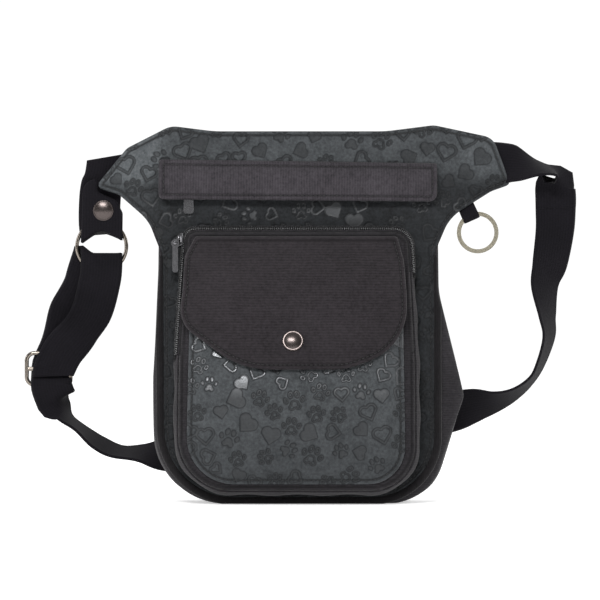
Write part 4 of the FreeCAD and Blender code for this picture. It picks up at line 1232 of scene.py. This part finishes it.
# ---------------------------------------------------------------- finishes of the carried-over parts
CARRIED = {
    "main_zip_tapes": TAPE_LOOK, "main_zip_stops": ENAMEL_LOOK, "main_zip_pull": ENAMEL_LOOK,
    "pocket_zip_stops": TAPE_LOOK, "pocket_zip_pull": ENAMEL_LOOK, "flap_snap_cap": GUNMETAL_LOOK,
    "loop_snap_cap": GUNMETAL_LOOK, "flap_snap_socket": NICKEL_LOOK, "flap_snap_stud": NICKEL_LOOK,
    "loop_snap_socket": NICKEL_LOOK, "loop_snap_stud": NICKEL_LOOK, "key_ring": NICKEL_LOOK, "o_ring": RING_LOOK}


def finish_carried_parts():
    for name, look in CARRIED.items():
        for place in NODES[name].material_slots:
            place.material = look


# ---------------------------------------------------------------- studio
def area_light(name, place, target, size, power, colour=(1.0, 1.0, 1.0)):
    lamp = bpy.data.lights.new(name, "AREA")
    lamp.shape = "RECTANGLE"
    lamp.size, lamp.size_y = size
    lamp.energy = power
    lamp.color = colour
    holder = bpy.data.objects.new(name, lamp)
    holder.location = place
    holder.rotation_euler = (Vector(target) - Vector(place)).to_track_quat("-Z", "Y").to_euler()
    bpy.context.scene.collection.objects.link(holder)


def make_world():
    """Soft light all round, bright behind the object and dim before it."""
    world = bpy.data.worlds.new("studio")
    bpy.context.scene.world = world
    world.use_nodes = True
    tree = world.node_tree
    ground = tree.nodes["Background"]
    toward = tree.nodes.new("ShaderNodeTexCoord")
    split = tree.nodes.new("ShaderNodeSeparateXYZ")
    spread = tree.nodes.new("ShaderNodeMapRange")
    tree.links.new(toward.outputs["Generated"], split.inputs[0])
    tree.links.new(split.outputs["Y"], spread.inputs["Value"])
    for key, value in {"From Min": -0.55, "From Max": 0.35, "To Min": WORLD_DIM, "To Max": WORLD_BRIGHT}.items():
        spread.inputs[key].default_value = value
    tree.links.new(spread.outputs["Result"], ground.inputs["Strength"])
    ground.inputs["Color"].default_value = rgb(1.0, 1.0, 1.0)


WORLD_DIM = 0.24
WORLD_BRIGHT = 1.05


def make_studio():
    make_world()
    work = bmesh.new()
    bmesh.ops.create_grid(work, x_segments=8, y_segments=8, size=6.0)
    mesh = bpy.data.meshes.new("floor")
    work.to_mesh(mesh)
    work.free()
    floor = bpy.data.objects.new("floor", mesh)
    mesh.materials.append(floor_material())
    bpy.context.scene.collection.objects.link(floor)
    middle = (0.0, 0.0, 0.13)
    area_light("key", (-0.35, -1.85, 1.55), middle, (1.2, 0.5), 42.0)
    area_light("side", (-1.9, -0.5, 0.7), middle, (0.4, 1.0), 9.0)
    area_light("rim", (1.7, 0.3, 0.9), middle, (0.5, 0.9), 9.0)
    scene = bpy.context.scene
    scene.view_settings.view_transform = "Standard"
    scene.view_settings.look = "None"
    scene.view_settings.exposure = 0.0


FRAME_WIDTH = 0.429         # width of the view at the pouch
FRAME_MIDDLE_Z = 0.1444
CAMERA_DISTANCE = 2.6


def make_camera():
    data = bpy.data.cameras.new("camera")
    data.sensor_width = 36.0
    data.lens = 36.0 * CAMERA_DISTANCE / FRAME_WIDTH
    data.dof.use_dof = False
    data.clip_end = 50.0
    camera = bpy.data.objects.new("camera", data)
    camera.location = (0.0, -CAMERA_DISTANCE, FRAME_MIDDLE_Z)
    camera.rotation_euler = (math.pi / 2, 0.0, 0.0)
    bpy.context.scene.collection.objects.link(camera)
    bpy.context.scene.camera = camera


make_front_panel()
make_slip_pocket()
make_main_gusset()
make_front_binding()
make_back_panel()
make_wing_edge()
make_cover_strip()
make_main_zip()
make_pocket_zip()
make_pocket_slider()
make_pocket_gusset()
make_pocket_front()
make_flap()
make_belt()
make_loop()
make_key_tab()
make_adjuster()
finish_carried_parts()
make_studio()
make_camera()
